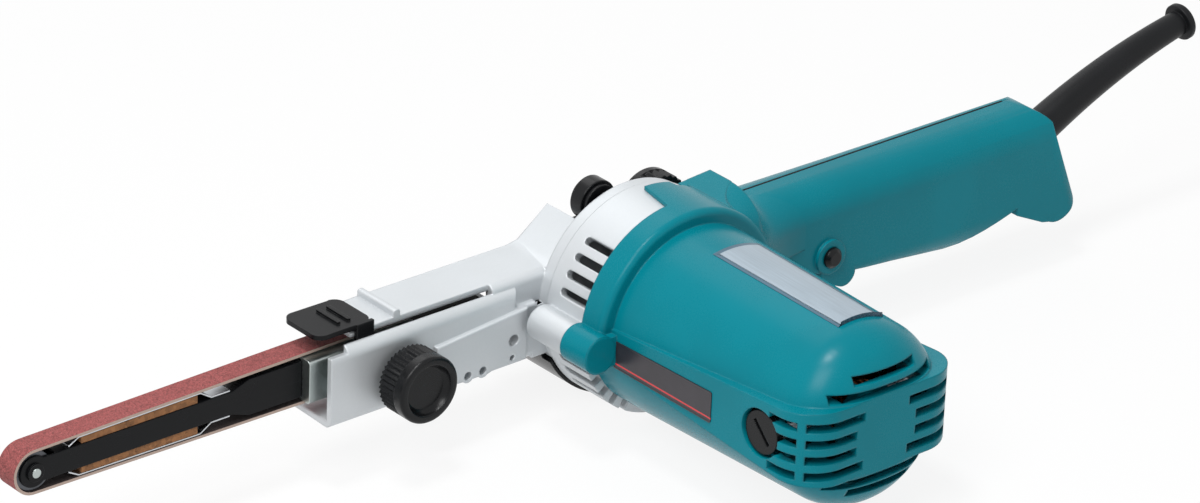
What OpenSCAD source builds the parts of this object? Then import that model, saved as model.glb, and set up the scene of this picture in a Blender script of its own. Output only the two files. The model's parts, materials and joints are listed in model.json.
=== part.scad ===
// Narrow belt file sander. A motor that lies across the tool drives a slim abrasive belt,
// which runs round a sprung arm on a holder that swings about the motor axis.
// Built about the motor axis: x runs to the handle, z runs up, and the depth w runs
// from the belt plane towards the motor end.

/* [Belt and pulleys] */
// Length of the abrasive belt loop
belt_len = 533; // [520:1:545]
// Width of the belt
belt_w = 9; // [8.5:0.1:9.6]
// Thickness of the belt
belt_t = 1; // [0.8:0.1:1.2]
// Diameter of the idler roller at the nose
roller_d = 13.9; // [13.4:0.1:14.4]
// Diameter of the drive pulley on the motor shaft
pulley_d = 20; // [19:0.5:21]

/* [Arm] */
// Height of the slim front part of the arm
arm_h = 8.4; // [7.6:0.1:9]
// Height of the arm where it enters the holder
arm_root_h = 13.2; // [12.6:0.1:13.6]
// Distance that the arm slides back for a belt change
arm_travel = 9; // [6:0.5:10]

/* [Holder] */
// Distance from the motor axis to the holder's front edge
holder_reach = 126.8; // [122:0.5:132]
// Depth of the holder's near face
holder_depth = 15; // [14.5:0.1:15.6]
// Depth of the holder's underside below the motor axis
holder_low = 15.8; // [15:0.1:17]
// Height of the holder's roof above the motor axis
holder_roof = 15; // [14.5:0.1:16]
// Wall thickness of the holder casting
holder_wall = 2.5; // [2.2:0.1:2.8]
// Radius of the holder's round plate
plate_r = 37.5; // [36:0.1:37.7]

/* [Gear housing] */
// Outer radius of the gear housing ring
ring_r = 38; // [37.8:0.1:38.8]
// Depth of the seam between the holder and the gear housing
seam_w = 17; // [16.8:0.1:18]
// Length of the gear housing ring
ring_len = 20; // [19:0.5:22]
// Width of an exhaust vent
vent_w = 2.9; // [2:0.1:3.4]

/* [Motor housing] */
// Radius of the collar at the motor housing's front
collar_r = 39.5; // [39.4:0.1:41]
// Length of the collar
collar_len = 10; // [9:0.5:12]
// Radius of the barrel behind the collar
barrel_front_r = 34.4; // [33.5:0.1:35]
// Radius of the barrel at its end
barrel_rear_r = 32.4; // [31.8:0.1:33]
// Half width of the flat side band
band_half_w = 34.6; // [34:0.1:35.4]
// Depth of the motor end face
motor_end = 144.6; // [143:0.5:150]
// Wall thickness of the barrel at its end
barrel_wall = 2.8; // [2.6:0.1:3.2]
// Height of a cooling slot
slot_h = 3.2; // [2.4:0.1:3.6]

/* [Handle] */
// Width of the handle's near half
handle_near_w = 16; // [15:0.5:17]
// Width of the handle's far half
handle_far_w = 12; // [11.5:0.5:13]
// Height of the handle's top above the motor axis
handle_top = 24; // [23:0.5:26]
// Depth of the handle's split plane
handle_mid = 20; // [19:0.5:21]
// Distance from the motor axis to the back of the heel
handle_rear = 193; // [190:0.5:205]
// Radius of the handle's upper corners
handle_corner = 12; // [9:0.5:12.5]

/* [Cord guard] */
// Length of each of the guard's two straight stretches
guard_step = 41; // [36:0.5:46]
// Radius of the hole for the cord
cord_r = 3.6; // [3:0.1:3.9]

/* [Hidden] */
$fn = 96;
// Overrun of cuts
over = 1;
// Gap between surfaces that run past each other
run_gap = 0.3;
// Radial clearance of running fits
fit_gap = 0.05;
// Gap between flat faces that slide
slide_gap = 0.1;
// Room round pieces that only have to clear each other
free_gap = 0.6;

// Belt path
roller_r = roller_d / 2;
pulley_r = pulley_d / 2;
nose_in = roller_r + run_gap;
nose_out = nose_in + belt_t;
drive_in = pulley_r + run_gap;
drive_out = drive_in + belt_t;
nose_mid = nose_in + belt_t / 2;
drive_mid = drive_in + belt_t / 2;
loop_runs = belt_len - PI * (nose_mid + drive_mid);
reach = (loop_runs + sqrt(pow(loop_runs, 2) - 8 * pow(drive_mid - nose_mid, 2))) / 4;
belt_tilt = asin((drive_mid - nose_mid) / reach);
arc_steps = 40;
function belt_in_z(x) = nose_in / cos(belt_tilt) + (x + reach) * tan(belt_tilt);

// Arm, roller and pin
arm_half = belt_w / 2 + slide_gap;
cheek_t = 0.8;
cheek_in = arm_half - cheek_t;
roller_w = 2 * (cheek_in - slide_gap);
pin_r = 2;
pin_head_r = 3.1;
pin_head_t = 0.9;
arm_nose_r = 5.5;
arm_slim_len = 78;
arm_step_x = arm_slim_len - reach;
arm_step_run = 7;
spring_len = 21.8;
seat_x = -57;
arm_rear_x = seat_x - spring_len;
roller_room = 1.2;

// Leaf spring platens and cork pads
platen_t = 0.6;
platen_half = belt_w / 2 - run_gap;
platen_inset = 13.4;
platen_front = platen_inset - reach;
platen_rise_run = 4;
platen_len = 64;
platen_flat_len = 48;
platen_drop_run = 4.5;
pad_inset = 1;
pad_len = platen_flat_len - 2 * pad_inset;

// Slide bracket
bracket_t = 1.2;
bracket_reach = 4.2;
bracket_inset = 6.2;
bracket_front = -holder_reach - bracket_reach;
bracket_len = arm_rear_x - bracket_inset - bracket_front;
bracket_out = 8.8;
bracket_lap = 1.4;
bracket_in = arm_half - bracket_lap;
bracket_h = arm_root_h / 2 + slide_gap + bracket_t;
bracket_round = 1.4;

// Thumb lever
lever_gap = 1;
lever_t = 1.7;
lever_reach = 3.2;
lever_front = -holder_reach - lever_reach;
lever_len = 23;
lever_near = 11.6;
lever_far = 8;
lever_corner = 4;
lever_rib_w = 1.5;
lever_rib_h = 0.8;
lever_rib_len = 12;
lever_rib_pitch = 4.2;
lever_rib_back = 12;
lever_leg_len = 7.2;
lever_foot_h = 4;
rib_front = lever_front + lever_len + arm_travel + run_gap;

// Holder casting
slot_w = 1.8;
shoulder_top = 13;
shoulder_r = 5;
near_wall = 2.8;
near_in = holder_depth - near_wall;
slot_inset = 6;
slot_front = slot_inset - holder_reach;
slot_rear = -57.5;
roof_inset = 11;
roof_front = roof_inset - holder_reach;
roof_far = 9;
floor_far = 6;
floor_round = 3;
floor_gap = 2.8;
floor_rear = -plate_r - floor_gap;
ramp_start = -34;
ramp_mid = -29.4;
ramp_mid_rise = 0.9;
ramp_end = -16.6;
ramp_top = 26.4;
ramp_t_share = 1.6;
wall_end = -48;
wall_end_round = 2.5;
bar_out = 0.6;
bar_near = near_in + bar_out;
bar_end = -24;
bar_round = 3;
ledge_round = 1.5;
roof_near = near_in - slot_w;
notch_len = 7;
notch_top = 10;
rib_len = 2.6;
rib_h = 2.4;
panel_front = -84;
panel_rear = -45;
panel_t = 1.7;
panel_front_top = 2;
panel_rear_top = 5.4;
rail_low = -7;
rail_top = -2.4;
rail_inset = 5;
rail_front = rail_inset - holder_reach;
rail_rear = -80;
seat_len = 5;
seat_half_h = 6;
seat_half_w = 4.4;
thread_x = -51;
thread_z = -5.2;
thread_r = 2.1;
thread_depth = 6;
drain_x = -51.5;
drain_z = -11.6;
drain_r = 1;
boss_z = -12.6;
boss_xs_share = [0.556, 0.505];
boss_hole_r = 1.5;
boss_r = 2.6;

// Round plate and swivel
plate_t = 4.7;
plate_far = seam_w - plate_t;
spigot_r = 18;
ring_land_r = 16;
land_len = 1.7;
spigot_end = plate_far - land_len;
clip_r = 21;
clip_t = 1.3;
scallop_from = 208;
scallop_to = 262;
scallop_r = 33.4;

// Knobs
grip_r = 12;
grip_teeth = 28;
tooth_r = 0.9;
dish_r = 8.6;
dish_depth = 1.3;
tracking_inset = 29.4;
tracking_x = tracking_inset - holder_reach;
tracking_z = -4.1;
tracking_near = 30;
tracking_len = 12;
tracking_neck_r = 6;
tracking_stud_r = 2.5;
clamp_x = 17;
clamp_z = 22;
clamp_end = 2;
clamp_stud_r = 3;
clamp_foot_r = 6;
clamp_foot_t = 1.6;
cover_knob_x = -9.2;
cover_knob_z = 31.1;
cover_knob_r = 7.65;
cover_knob_end = 2;
cover_knob_round = 1.2;
cover_stud_r = 2.5;

// Belt cover
cover_r = 39.2;
cover_wall = 2;
cover_near = 10.2;
cover_lip = plate_far - slide_gap;
cover_out = 13;
cover_hub_r = 14.6;
cover_front_z = 6;
cover_rear_x = 6;
lip_gap = 1.5;
cover_lip_r = clip_r + lip_gap;
tab_t = 1.5;
tab_r = 6.6;
tab_half_w = 5;
belt_room = 1.2;

// Motor shaft line
bore_r = barrel_rear_r - barrel_wall;
shaft_tip = -9.4;
shaft_tip_r = 3;
shaft_front_r = 4;
shaft_mid_r = 5;
shaft_rear_r = 3.5;
shaft_mid_front = 24;
pulley_rim = 0.8;
pulley_half = belt_w / 2 + pulley_rim;
pulley_crown = 0.3;
pulley_hub_r = 6;
nut_r = 5.5;
nut_t = 3.4;
front_race_r = 11;
front_race_w = 7;
front_race_inset = 1;
front_race_at = spigot_end + front_race_inset;
rear_race_r = 9.5;
rear_race_w = 6;
rear_race_inset = 11.4;
rear_race_at = motor_end - rear_race_inset;
sleeve_t = 1.6;
race_t_share = 0.26;
fan_r = 28;
fan_inset = 9.5;
fan_front = seam_w + fan_inset;
fan_depth = 9;
fan_web_t = 2;
fan_hub_r = 9;
fan_blades = 13;
blade_t = 1.4;
core_inset = 38;
core_front = seam_w + core_inset;
core_len = 40;
core_depth = 10.6;
core_r = bore_r - core_depth;
core_slots = 14;
core_slot_w = 2.4;
core_slot_depth = 6;
winding_step = 1.5;
winding_r = core_r - winding_step;
winding_len = 7.5;
winding_round = 3;
comm_inset = 30.8;
comm_at = motor_end - comm_inset;
comm_len = 15;
comm_r = 11.5;
riser_r = 12.8;
riser_len = 2;

// Field
air_gap = 0.6;
field_inset = 1;
field_len = core_len - 2 * field_inset;
field_front = core_front + field_inset;
field_pocket_h = 15;
field_back = 2.6;
field_pocket_out = bore_r - field_back;
coil_half_gap = 0.6;
coil_over = 7;
coil_lift = 1.4;
coil_in = core_r + coil_lift;
coil_fit = 0.15;

// Brush gear
brush_inset = 23.1;
brush_w = motor_end - brush_inset;
brush_tube_r = 6.4;
brush_tube_in = 14;
cap_sink = 3.6;
brush_tube_out = band_half_w - cap_sink;
brush_h = 8;
brush_thick = 5;
brush_len = 10;
brush_gap = 0.2;
cap_r = 7.6;
cap_recess_r = 8.7;
cap_t = 2.6;
cap_plug_r = 4.6;
cap_plug_len = 4;
cap_slot_w = 1.6;
cap_slot_len = 10;
cap_slot_depth = 1.2;
brush_wire_r = 0.35;
brush_coil_r = 2;
brush_coil_turns = 3;

// Gear housing
ring_wall = 3;
ring_rear = seam_w + ring_len;
spigot_in = 4;
spigot_clear = 0.1;
vent_inset = 5.5;
vent_front = seam_w + vent_inset;
vent_steps = 6;
vent_pitch = 9.6;
vent_upper_start = 133.5;
vent_upper_count = 4;
vent_lower_start = 200;
vent_lower_count = 5;
lug_out = 3.4;
lug_x = -ring_r - lug_out;
lug_r = 6.8;
lug_len = 13;
lug_rear = ring_rear + lug_len;
cast_lug_r = 6.2;
cast_lug_inset = 2;
cast_lug_front = seam_w + cast_lug_inset;
lug_web_half = 5.4;
screw_r = 2.1;
screw_head_r = 4;
screw_head_t = 3.2;
post_angles = [62, -40];
post_inset = 4;
post_c = ring_r - post_inset;
post_r = 3.4;
post_screw_r = 1.7;
post_head_r = 2.7;
flange_t = 3;
register_r = 32;
register_t = 1.8;
front_wall = 4;

// Motor housing
motor_wall = 3.4;
bore_end = motor_end - motor_wall;
collar_rear = ring_rear + collar_len;
collar_round = 2.4;
end_round = 18;
end_bore_r = 22;
collar_from = 189.6;
collar_to = 308;
band_front_half = 6.6;
band_rear_half = 13.6;
band_corner = 15;
band_cavity_len = 42;
band_cavity_front = motor_end - band_cavity_len;
end_slot_pitch = 5.9;
end_slot_drop = 0.7;
end_slot_in = 9.6;
end_slot_step = 3.2;
end_slot_inset = 3.8;
end_slot_out = band_half_w - end_slot_inset;
end_slot_depth = 9;
side_slot_inset = 19;
side_slot_len = 11.4;
side_slot_front = motor_end - side_slot_inset;
side_slot_rear = side_slot_front + side_slot_len;
side_slot_depth = 5;
crown_slot_share = [[0.68, 0.478], [0.41, 0.633]];
keel_slot_share = [[0.676, -0.494], [0.417, -0.617]];
baffle_t = 2;
baffle_lip = 5.6;
baffle_in_r = bore_r - baffle_lip;

// Handle
handle_near = handle_mid + handle_near_w;
handle_far = handle_mid - handle_far_w;
handle_shell = 3;
handle_under_r = 5;
swing_room = 40.6;
root_peak_x = 33.3;
root_peak_z = 34.3;
root_front_x = 18;
root_front_z = 33.2;
root_arc_r = 16;
root_arc_steps = 8;
root_low_z = 12;
root_crease = 28;
root_dip = 0.3;
root_sink = 0.9;
root_mid_z = handle_top + root_arc_r - root_sink;
root_mid_x = root_peak_x + sqrt(pow(root_arc_r, 2) - pow(root_mid_z - root_peak_z, 2));
hood_inset = 4.6;
hood_front = seam_w + hood_inset;
hood_left = 3.6;
hood_notch = 3;
hood_notch_from = 10.6;
hood_notch_to = 18.4;
split_front = 45;
belly_r = 200;
belly_x = 119;
belly_low = 14.6;
lug_bottom_x = 81;
lug_bottom_z = 16.5;
lug_bottom_r = 5;
lug_front_x = 70;
lug_front_z = 12;
heel_r = 8.9;
heel_x = handle_rear - heel_r;
heel_low = 21.5;
heel_z = heel_r - heel_low;
heel_front_run = 29.4;
heel_front = handle_rear - heel_front_run;
heel_front_z = 12.6;
heel_dip_run = 16.5;
heel_dip = handle_rear - heel_dip_run;
heel_dip_z = 19.6;
rear_tilt = 22.9;
rear_corner = 6;
rear_upper_z = 15.6;
rear_touch = [heel_x, heel_z] + heel_r * [cos(rear_tilt), sin(rear_tilt)];
function rear_at(z) = rear_touch.x - (z - rear_touch.y) * tan(rear_tilt);
top_rear_run = 21.5;
top_rear = handle_rear - top_rear_run;
cavity_front = 57;
cavity_rear_run = 18;
cavity_rear = handle_rear - cavity_rear_run;
cavity_low = 4;
trigger_half = 5.6;
trigger_pivot_x = 74.5;
trigger_pivot_z = 4;
trigger_pin_r = 1.6;
trigger_pin_out = 1.7;
cheek_half = 4.5;
trigger_front = 51;
trigger_front_z = 3.4;
trigger_tip_z = -6.5;
trigger_rear_z = -8.8;
trigger_back = 76.4;
trigger_scoop_r = 30;
trigger_scoop_z = -37.4;
trigger_bay_top = 8;
switch_x = 61;
switch_len = 40;
switch_low = 8.4;
switch_h = 8;
switch_half = 7;
lock_x = 73.2;
lock_z = -2.6;
lock_r = 3.7;
lock_out = 3.6;
lock_in = 30.2;
lock_flange_r = 4.6;
lock_room = 6;
lock_flange_t = 1.4;
lock_boss_r = 6.4;
lock_boss_out = 1.4;
hscrew_r = 1.9;
hscrew_head_r = 3.6;
hscrew_head_t = 2.6;
hscrew_len = 17;
hscrew_share = [[0.267, 0.458], [0.549, -0.358], [0.72, -0.358]];
hscrew_places = concat([for (p = hscrew_share) [p.x * handle_rear, p.y * handle_top]], [[heel_x,
  heel_z]]);
hscrew_sink = 1.2;

// Cord guard
guard_inset = 12.5;
guard_x = handle_rear - guard_inset;
guard_z = 4.4;
guard_a1 = 24;
guard_a2 = 15;
guard_root_r = 6.8;
guard_mid_r = 5.4;
guard_tip_r = 4.6;
guard_flange_r = 6.9;
guard_flange_t = 2.8;
guard_foot_r = 8.6;
guard_foot_t = 4;
guard_lap = 1;
guard_shoulder = 0.35;
guard_mid = [guard_x + guard_step * cos(guard_a1), guard_z + guard_step * sin(guard_a1)];
guard_tip = guard_mid + guard_step * [cos(guard_a2), sin(guard_a2)];
strap_len = 8;
strap_half = 7.5;
strap_t = 2.4;
strap_inset = 18;
strap_x = guard_x - strap_inset;
strap_z = 5.5;
strap_post_r = 3;
strap_seat = handle_mid - cord_r;
strap_screw_r = 1.4;
strap_screw_head_r = 2.7;
strap_screw_head_t = 1.8;
strap_screw_at = 5;
strap_screw_len = 12;

// Tension spring
spring_wire_r = 0.55;
spring_r = 3.6;
spring_turns = 7;
coil_rings = 8;
coil_sides = 6;

// Shift from the motor axis to the middle of the part's underside
nose_x = -(reach + nose_out);
tail_x = guard_tip.x + guard_flange_r * sin(guard_a2);
shift = [-(nose_x + tail_x) / 2, (motor_end - cover_out) / 2, cover_r];

teal = [0.10, 0.55, 0.60];
silver = [0.86, 0.88, 0.90];
black = [0.13, 0.13, 0.14];
steel = [0.62, 0.64, 0.66];
copper = [0.72, 0.42, 0.22];
red = [0.66, 0.34, 0.35];
cork = [0.60, 0.42, 0.27];

// Turns the working frame into the part's own frame
module placed() {
  translate(shift) rotate([90, 0, 0]) children();
}

// Extrudes an outline in x and z over a span of depth
module slab(w0, w1) {
  translate([0, 0, w0]) linear_extrude(w1 - w0) children();
}

// Extrudes a section in y and z along x
module along_x(x0, x1) {
  translate([x0, 0, 0]) rotate([0, 90, 0]) linear_extrude(x1 - x0) children();
}

// Extrudes a plan in x and w over a span of height
module along_z(z0, z1) {
  translate([0, z1, 0]) rotate([90, 0, 0]) linear_extrude(z1 - z0) children();
}

// Box given by its two corners
module block(low, high) {
  translate(low) cube(high - low);
}

// Round bar along the depth axis
module rod(x, z, w0, w1, r) {
  translate([x, z, w0]) cylinder(h = w1 - w0, r = r);
}

// Round bar along x
module cross_rod(x0, x1, z, w, r) {
  translate([x0, z, w]) rotate([0, 90, 0]) cylinder(h = x1 - x0, r = r);
}

// Rectangle with rounded corners, given by its two corners
module soft_rect(low, high, r) {
  translate([low.x + r, low.y]) square([high.x - low.x - 2 * r, high.y - low.y]);
  translate([low.x, low.y + r]) square([high.x - low.x, high.y - low.y - 2 * r]);
  for (x = [low.x + r, high.x - r], y = [low.y + r, high.y - r]) translate([x, y]) circle(r);
}

// Waste outside a rounded corner that points to +x and +y
module corner_waste(r) {
  difference() {
    translate([-r, -r]) square(r + over);
    translate([-r, -r]) circle(r);
  }
}

// Point on the middle of a wire coil along z
function coil_spot(i, r, wire_r, turns, height) = let (a = 360 * i / coil_rings)
  [r * cos(a), r * sin(a), wire_r + (height - 2 * wire_r) * i / (turns * coil_rings)];

// Least gap between one turn of a coil and any other
function coil_gap(r, wire_r, turns, height) = let (n = turns * coil_rings, half = coil_rings / 2)
  min([for (i = [0:n - half], j = [i + half:n])
    norm(coil_spot(i, r, wire_r, turns, height) - coil_spot(j, r, wire_r, turns, height))]) - 2 * wire_r;

// Wire coil along z from the origin
module coil(r, wire_r, turns, height) {
  steps = turns * coil_rings;
  points = [for (i = [0:steps], k = [0:coil_sides - 1]) let (a = 360 * i / coil_rings,
    b = 360 * k / coil_sides)
    coil_spot(i, r, wire_r, turns, height) + wire_r * [cos(b) * cos(a), cos(b) * sin(a), sin(b)]];
  sides = [for (i = [0:steps - 1], k = [0:coil_sides - 1])
    let (n = (k + 1) % coil_sides, a = i * coil_sides, b = a + coil_sides)
    each [[a + k, b + k, b + n], [a + k, b + n, a + n]]];
  first = [for (k = [1:coil_sides - 2]) [0, k, k + 1]];
  last = let (e = steps * coil_sides) [for (k = [1:coil_sides - 2]) [e, e + k + 1, e + k]];
  echo(coil_gap = coil_gap(r, wire_r, turns, height));
  polyhedron(points, concat(sides, first, last));
}

// Points of the belt loop for one pair of radii, round the nose and then round the drive
function loop_points(r_nose, r_drive) = let (sweep = 180 - 2 * belt_tilt, wrap = 180 + 2 * belt_tilt)
  concat([for (i = [0:arc_steps]) let (a = 90 + belt_tilt + sweep * i / arc_steps)
      [r_nose * cos(a) - reach, r_nose * sin(a)]],
    [for (i = [0:arc_steps]) let (a = wrap * i / arc_steps - 90 - belt_tilt) r_drive * [cos(a), sin(a)]]);

module sanding_belt() {
  count = 2 * (arc_steps + 1);
  color(red) slab(-belt_w / 2, belt_w / 2)
    polygon(concat(loop_points(nose_out, drive_out), loop_points(nose_in, drive_in)),
      [[for (i = [0:count - 1]) i], [for (i = [0:count - 1]) count + i]]);
}

module idler_roller() {
  color(steel) difference() {
    rod(-reach, 0, -roller_w / 2, roller_w / 2, roller_r);
    rod(-reach, 0, -roller_w, roller_w, pin_r + fit_gap);
  }
}

module roller_pin() {
  color(steel) {
    rod(-reach, 0, -arm_half - pin_head_t, arm_half + pin_head_t, pin_r);
    rod(-reach, 0, arm_half, arm_half + pin_head_t, pin_head_r);
    rod(-reach, 0, -arm_half - pin_head_t, -arm_half, pin_head_r);
  }
}

// Side view of the arm
module arm_outline() {
  half = arm_h / 2;
  root_half = arm_root_h / 2;
  polygon([[-reach, half], [arm_step_x, half], [arm_step_x + arm_step_run, root_half],
    [arm_rear_x, root_half], [arm_rear_x, -root_half], [arm_step_x + arm_step_run, -root_half],
    [arm_step_x, -half], [-reach, -half]]);
}

module arm() {
  color(black) difference() {
    union() {
      slab(-arm_half, arm_half) arm_outline();
      rod(-reach, 0, -arm_half, arm_half, arm_nose_r);
    }
    block([-reach - arm_nose_r - over, -arm_root_h, -cheek_in],
      [-reach + roller_r + roller_room, arm_root_h, cheek_in]);
    rod(-reach, 0, -arm_half - over, arm_half + over, pin_r);
  }
}

// Side view of a leaf spring platen above the arm
module platen_outline() {
  foot = arm_h / 2 + slide_gap;
  x1 = platen_front + platen_rise_run;
  x2 = x1 + platen_flat_len;
  x3 = x2 + platen_drop_run;
  x4 = platen_front + platen_len;
  path = [[platen_front, foot], [x1, belt_in_z(x1) - run_gap - platen_t],
    [x2, belt_in_z(x2) - run_gap - platen_t], [x3, foot], [x4, foot]];
  polygon(concat(path, [for (i = [4:-1:0]) path[i] + [0, platen_t]]));
}

module upper_platen() {
  color(steel) slab(-platen_half, platen_half) platen_outline();
}

module lower_platen() {
  color(steel) slab(-platen_half, platen_half) mirror([0, 1]) platen_outline();
}

// Side view of a cork pad above the arm
module pad_outline() {
  x0 = platen_front + platen_rise_run + pad_inset;
  x1 = x0 + pad_len;
  under = run_gap + platen_t + slide_gap;
  polygon([[x0, arm_h / 2], [x1, arm_h / 2], [x1, belt_in_z(x1) - under], [x0, belt_in_z(x0) - under]]);
}

module upper_pad() {
  color(cork) slab(-platen_half, platen_half) pad_outline();
}

module lower_pad() {
  color(cork) slab(-platen_half, platen_half) mirror([0, 1]) pad_outline();
}

module arm_bracket() {
  rear = bracket_front + bracket_len;
  color(steel) {
    along_x(bracket_front, rear) difference() {
      soft_rect([-bracket_out, -bracket_h], [bracket_out, bracket_h], bracket_round);
      soft_rect([bracket_t - bracket_out, bracket_t - bracket_h],
        [bracket_out, bracket_h - bracket_t], bracket_t / 2);
      translate([-bracket_in, -bracket_h - over]) square([2 * bracket_out, 2 * bracket_h + 2 * over]);
    }
    block([bracket_front, bracket_t / 2 - bracket_h, arm_half + slide_gap],
      [bracket_front + bracket_t, bracket_h - bracket_t / 2, bracket_out - bracket_t / 2]);
  }
}

module thumb_lever() {
  low = holder_roof + lever_gap;
  top = low + lever_t;
  rear = lever_front + lever_len;
  leg_near = near_in - slide_gap;
  leg_far = roof_near + slide_gap;
  middle = (lever_near - lever_far) / 2;
  color(black) {
    along_z(low, top) soft_rect([lever_front, -lever_far], [rear, lever_near], lever_corner);
    for (k = [0, 1]) along_z(top, top + lever_rib_h)
      translate([rear - lever_rib_back + k * lever_rib_pitch, 0])
      soft_rect([0, middle - lever_rib_len / 2], [lever_rib_w, middle + lever_rib_len / 2],
        lever_rib_w / 2.1);
    block([rear - lever_leg_len, 0, leg_far], [rear, top, leg_near]);
    block([rear - lever_leg_len, 0, bracket_out], [rear, lever_foot_h, leg_near]);
  }
}

// Section of the holder's near wall and floor, in y and z
module channel_section(top, r) {
  difference() {
    union() {
      translate([-holder_depth, -holder_low]) square([near_wall, holder_low + top]);
      translate([-holder_depth, -holder_low]) square([holder_depth + floor_far, holder_wall]);
    }
    translate([-holder_depth, top]) mirror([1, 0]) corner_waste(r);
    translate([-holder_depth, -holder_low]) rotate(180) corner_waste(floor_round);
  }
}

// Side view of the holder's roof and the ramp up to the round plate
module roof_outline(front) {
  rise = holder_roof + ramp_mid_rise;
  polygon([[front, holder_roof], [ramp_start, holder_roof], [ramp_mid, rise], [ramp_end, ramp_top],
    [ramp_end, ramp_top - holder_wall * ramp_t_share], [ramp_mid, rise - holder_wall],
    [ramp_start, holder_roof - holder_wall], [front, holder_roof - holder_wall]]);
}

// Sector of a disc between two angles
module wedge(r, a0, a1) {
  mid = (a0 + a1) / 2;
  far = 2 * r;
  polygon([[0, 0], far * [cos(a0), sin(a0)], far * [cos(mid), sin(mid)], far * [cos(a1), sin(a1)]]);
}

// Outline of the holder's round plate
module plate_outline() {
  difference() {
    circle(plate_r);
    intersection() {
      wedge(plate_r, scallop_from, scallop_to);
      difference() {
        circle(plate_r + over);
        circle(scallop_r);
      }
    }
  }
}

module arm_holder() {
  plate_near = seam_w - slide_gap;
  panel_low = -holder_low + floor_round / 2;
  color(silver) difference() {
    union() {
      difference() {
        along_x(-holder_reach, wall_end) channel_section(shoulder_top, shoulder_r);
        along_z(panel_rear_top, shoulder_top + over) translate([wall_end,
          holder_depth]) corner_waste(wall_end_round);
      }
      along_x(wall_end - over, floor_rear) channel_section(panel_rear_top, ledge_round);
      slab(near_in, holder_depth) translate([floor_rear - over, -holder_low])
        square([bar_end - floor_rear + over, holder_low + panel_rear_top - ledge_round]);
      slab(-roof_far, roof_near) roof_outline(roof_front);
      slab(roof_near - over, plate_far + over) roof_outline(ramp_start);
      along_x(slot_rear, bar_end) difference() {
        translate([-bar_near, panel_rear_top - over]) square([bar_near - roof_near + over,
          holder_roof - panel_rear_top + over]);
        translate([-bar_near, holder_roof]) mirror([1, 0]) corner_waste(bar_round);
      }
      block([rib_front, holder_roof - holder_wall / 2, -roof_far], [rib_front + rib_len,
        holder_roof + rib_h, roof_near]);
      slab(plate_far, plate_near) plate_outline();
      slab(holder_depth - over, holder_depth + panel_t) polygon([[panel_front, panel_low], [panel_rear,
        panel_low],
        [panel_rear, panel_rear_top], [panel_front, panel_front_top]]);
      block([rail_front, rail_low, bracket_out + slide_gap], [rail_rear, rail_top, near_in + over]);
      block([seat_x, -seat_half_h, -seat_half_w], [seat_x + seat_len, seat_half_h, near_in + over]);
      for (s = boss_xs_share) rod(-holder_reach * s, boss_z, holder_depth - over, holder_depth + panel_t,
        boss_r);
    }
    block([-holder_reach - over, notch_top, near_in - over], [notch_len - holder_reach,
      shoulder_top + over, holder_depth + over]);
    rod(0, 0, plate_far - over, seam_w + over, spigot_r + fit_gap);
    rod(0, 0, 0, plate_far, clip_r + free_gap);
    rod(tracking_x, tracking_z, 0, holder_depth + over, tracking_stud_r + fit_gap);
    rod(clamp_x, clamp_z, plate_far - over, seam_w + over, clamp_stud_r + fit_gap);
    rod(cover_knob_x, cover_knob_z, plate_far - over, seam_w + over, cover_stud_r + fit_gap);
    rod(thread_x, thread_z, holder_depth + panel_t - thread_depth, holder_depth + panel_t + over,
      thread_r);
    rod(drain_x, drain_z, near_in - over, holder_depth + panel_t + over, drain_r);
    for (s = boss_xs_share) rod(-holder_reach * s, boss_z, near_in + over, holder_depth + panel_t + over,
      boss_hole_r);
  }
}

// Outline of the belt cover, drawn in by a wall
module cover_outline(inset) {
  intersection() {
    circle(cover_r - inset);
    translate([-2 * cover_r, -2 * cover_r])
      square([2 * cover_r + cover_rear_x - inset, 2 * cover_r + cover_front_z - inset]);
  }
  circle(cover_hub_r - inset);
}

module belt_cover() {
  way = drive_out + belt_room;
  color(black) difference() {
    union() {
      difference() {
        slab(-cover_out, cover_near) cover_outline(0);
        slab(cover_wall - cover_out, cover_near + over) cover_outline(cover_wall);
      }
      slab(cover_near, cover_lip) difference() {
        intersection() {
          cover_outline(0);
          translate([-2 * cover_r, -2 * cover_r]) square([2 * cover_r + cover_rear_x,
            2 * cover_r - holder_low]);
        }
        intersection() {
          cover_outline(cover_wall);
          translate([-2 * cover_r, -2 * cover_r]) square(4 * cover_r);
        }
        circle(cover_lip_r);
      }
      slab(cover_lip - over, seam_w - free_gap) intersection() {
        wedge(cover_r, scallop_from + over, scallop_to - over);
        difference() {
          circle(cover_r);
          circle(scallop_r + free_gap);
        }
      }
      slab(cover_near - tab_t, cover_near) difference() {
        union() {
          translate([cover_knob_x, cover_knob_z]) circle(tab_r);
          translate([cover_knob_x - tab_half_w, 0]) square([2 * tab_half_w, cover_knob_z]);
        }
        circle(cover_hub_r - cover_wall / 2);
      }
    }
    block([-2 * cover_r, -way, -belt_w / 2 - belt_room], [0, way, cover_near + over]);
    block([-2 * cover_r, -holder_low - free_gap, -floor_far - free_gap], [floor_rear + free_gap, way,
      seam_w]);
    rod(cover_knob_x, cover_knob_z, 0, cover_near + over, cover_stud_r + fit_gap);
  }
}

// Knurled grip between two depths, with a dished face at its outer end
module grip(w0, w1, dish_at) {
  difference() {
    rod(0, 0, w0, w1, grip_r);
    for (k = [0:grip_teeth - 1]) rotate(360 * k / grip_teeth) rod(grip_r + tooth_r / 3, 0, w0 - over,
      w1 + over, tooth_r);
    rod(0, 0, dish_at - dish_depth, dish_at + dish_depth, dish_r);
  }
}

module tracking_knob() {
  color(black) translate([tracking_x, tracking_z, 0]) {
    grip(tracking_near - tracking_len, tracking_near, tracking_near);
    rod(0, 0, holder_depth + slide_gap, tracking_near - tracking_len + over, tracking_neck_r);
    rod(0, 0, bracket_out + slide_gap, holder_depth + over, tracking_stud_r);
  }
}

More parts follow.
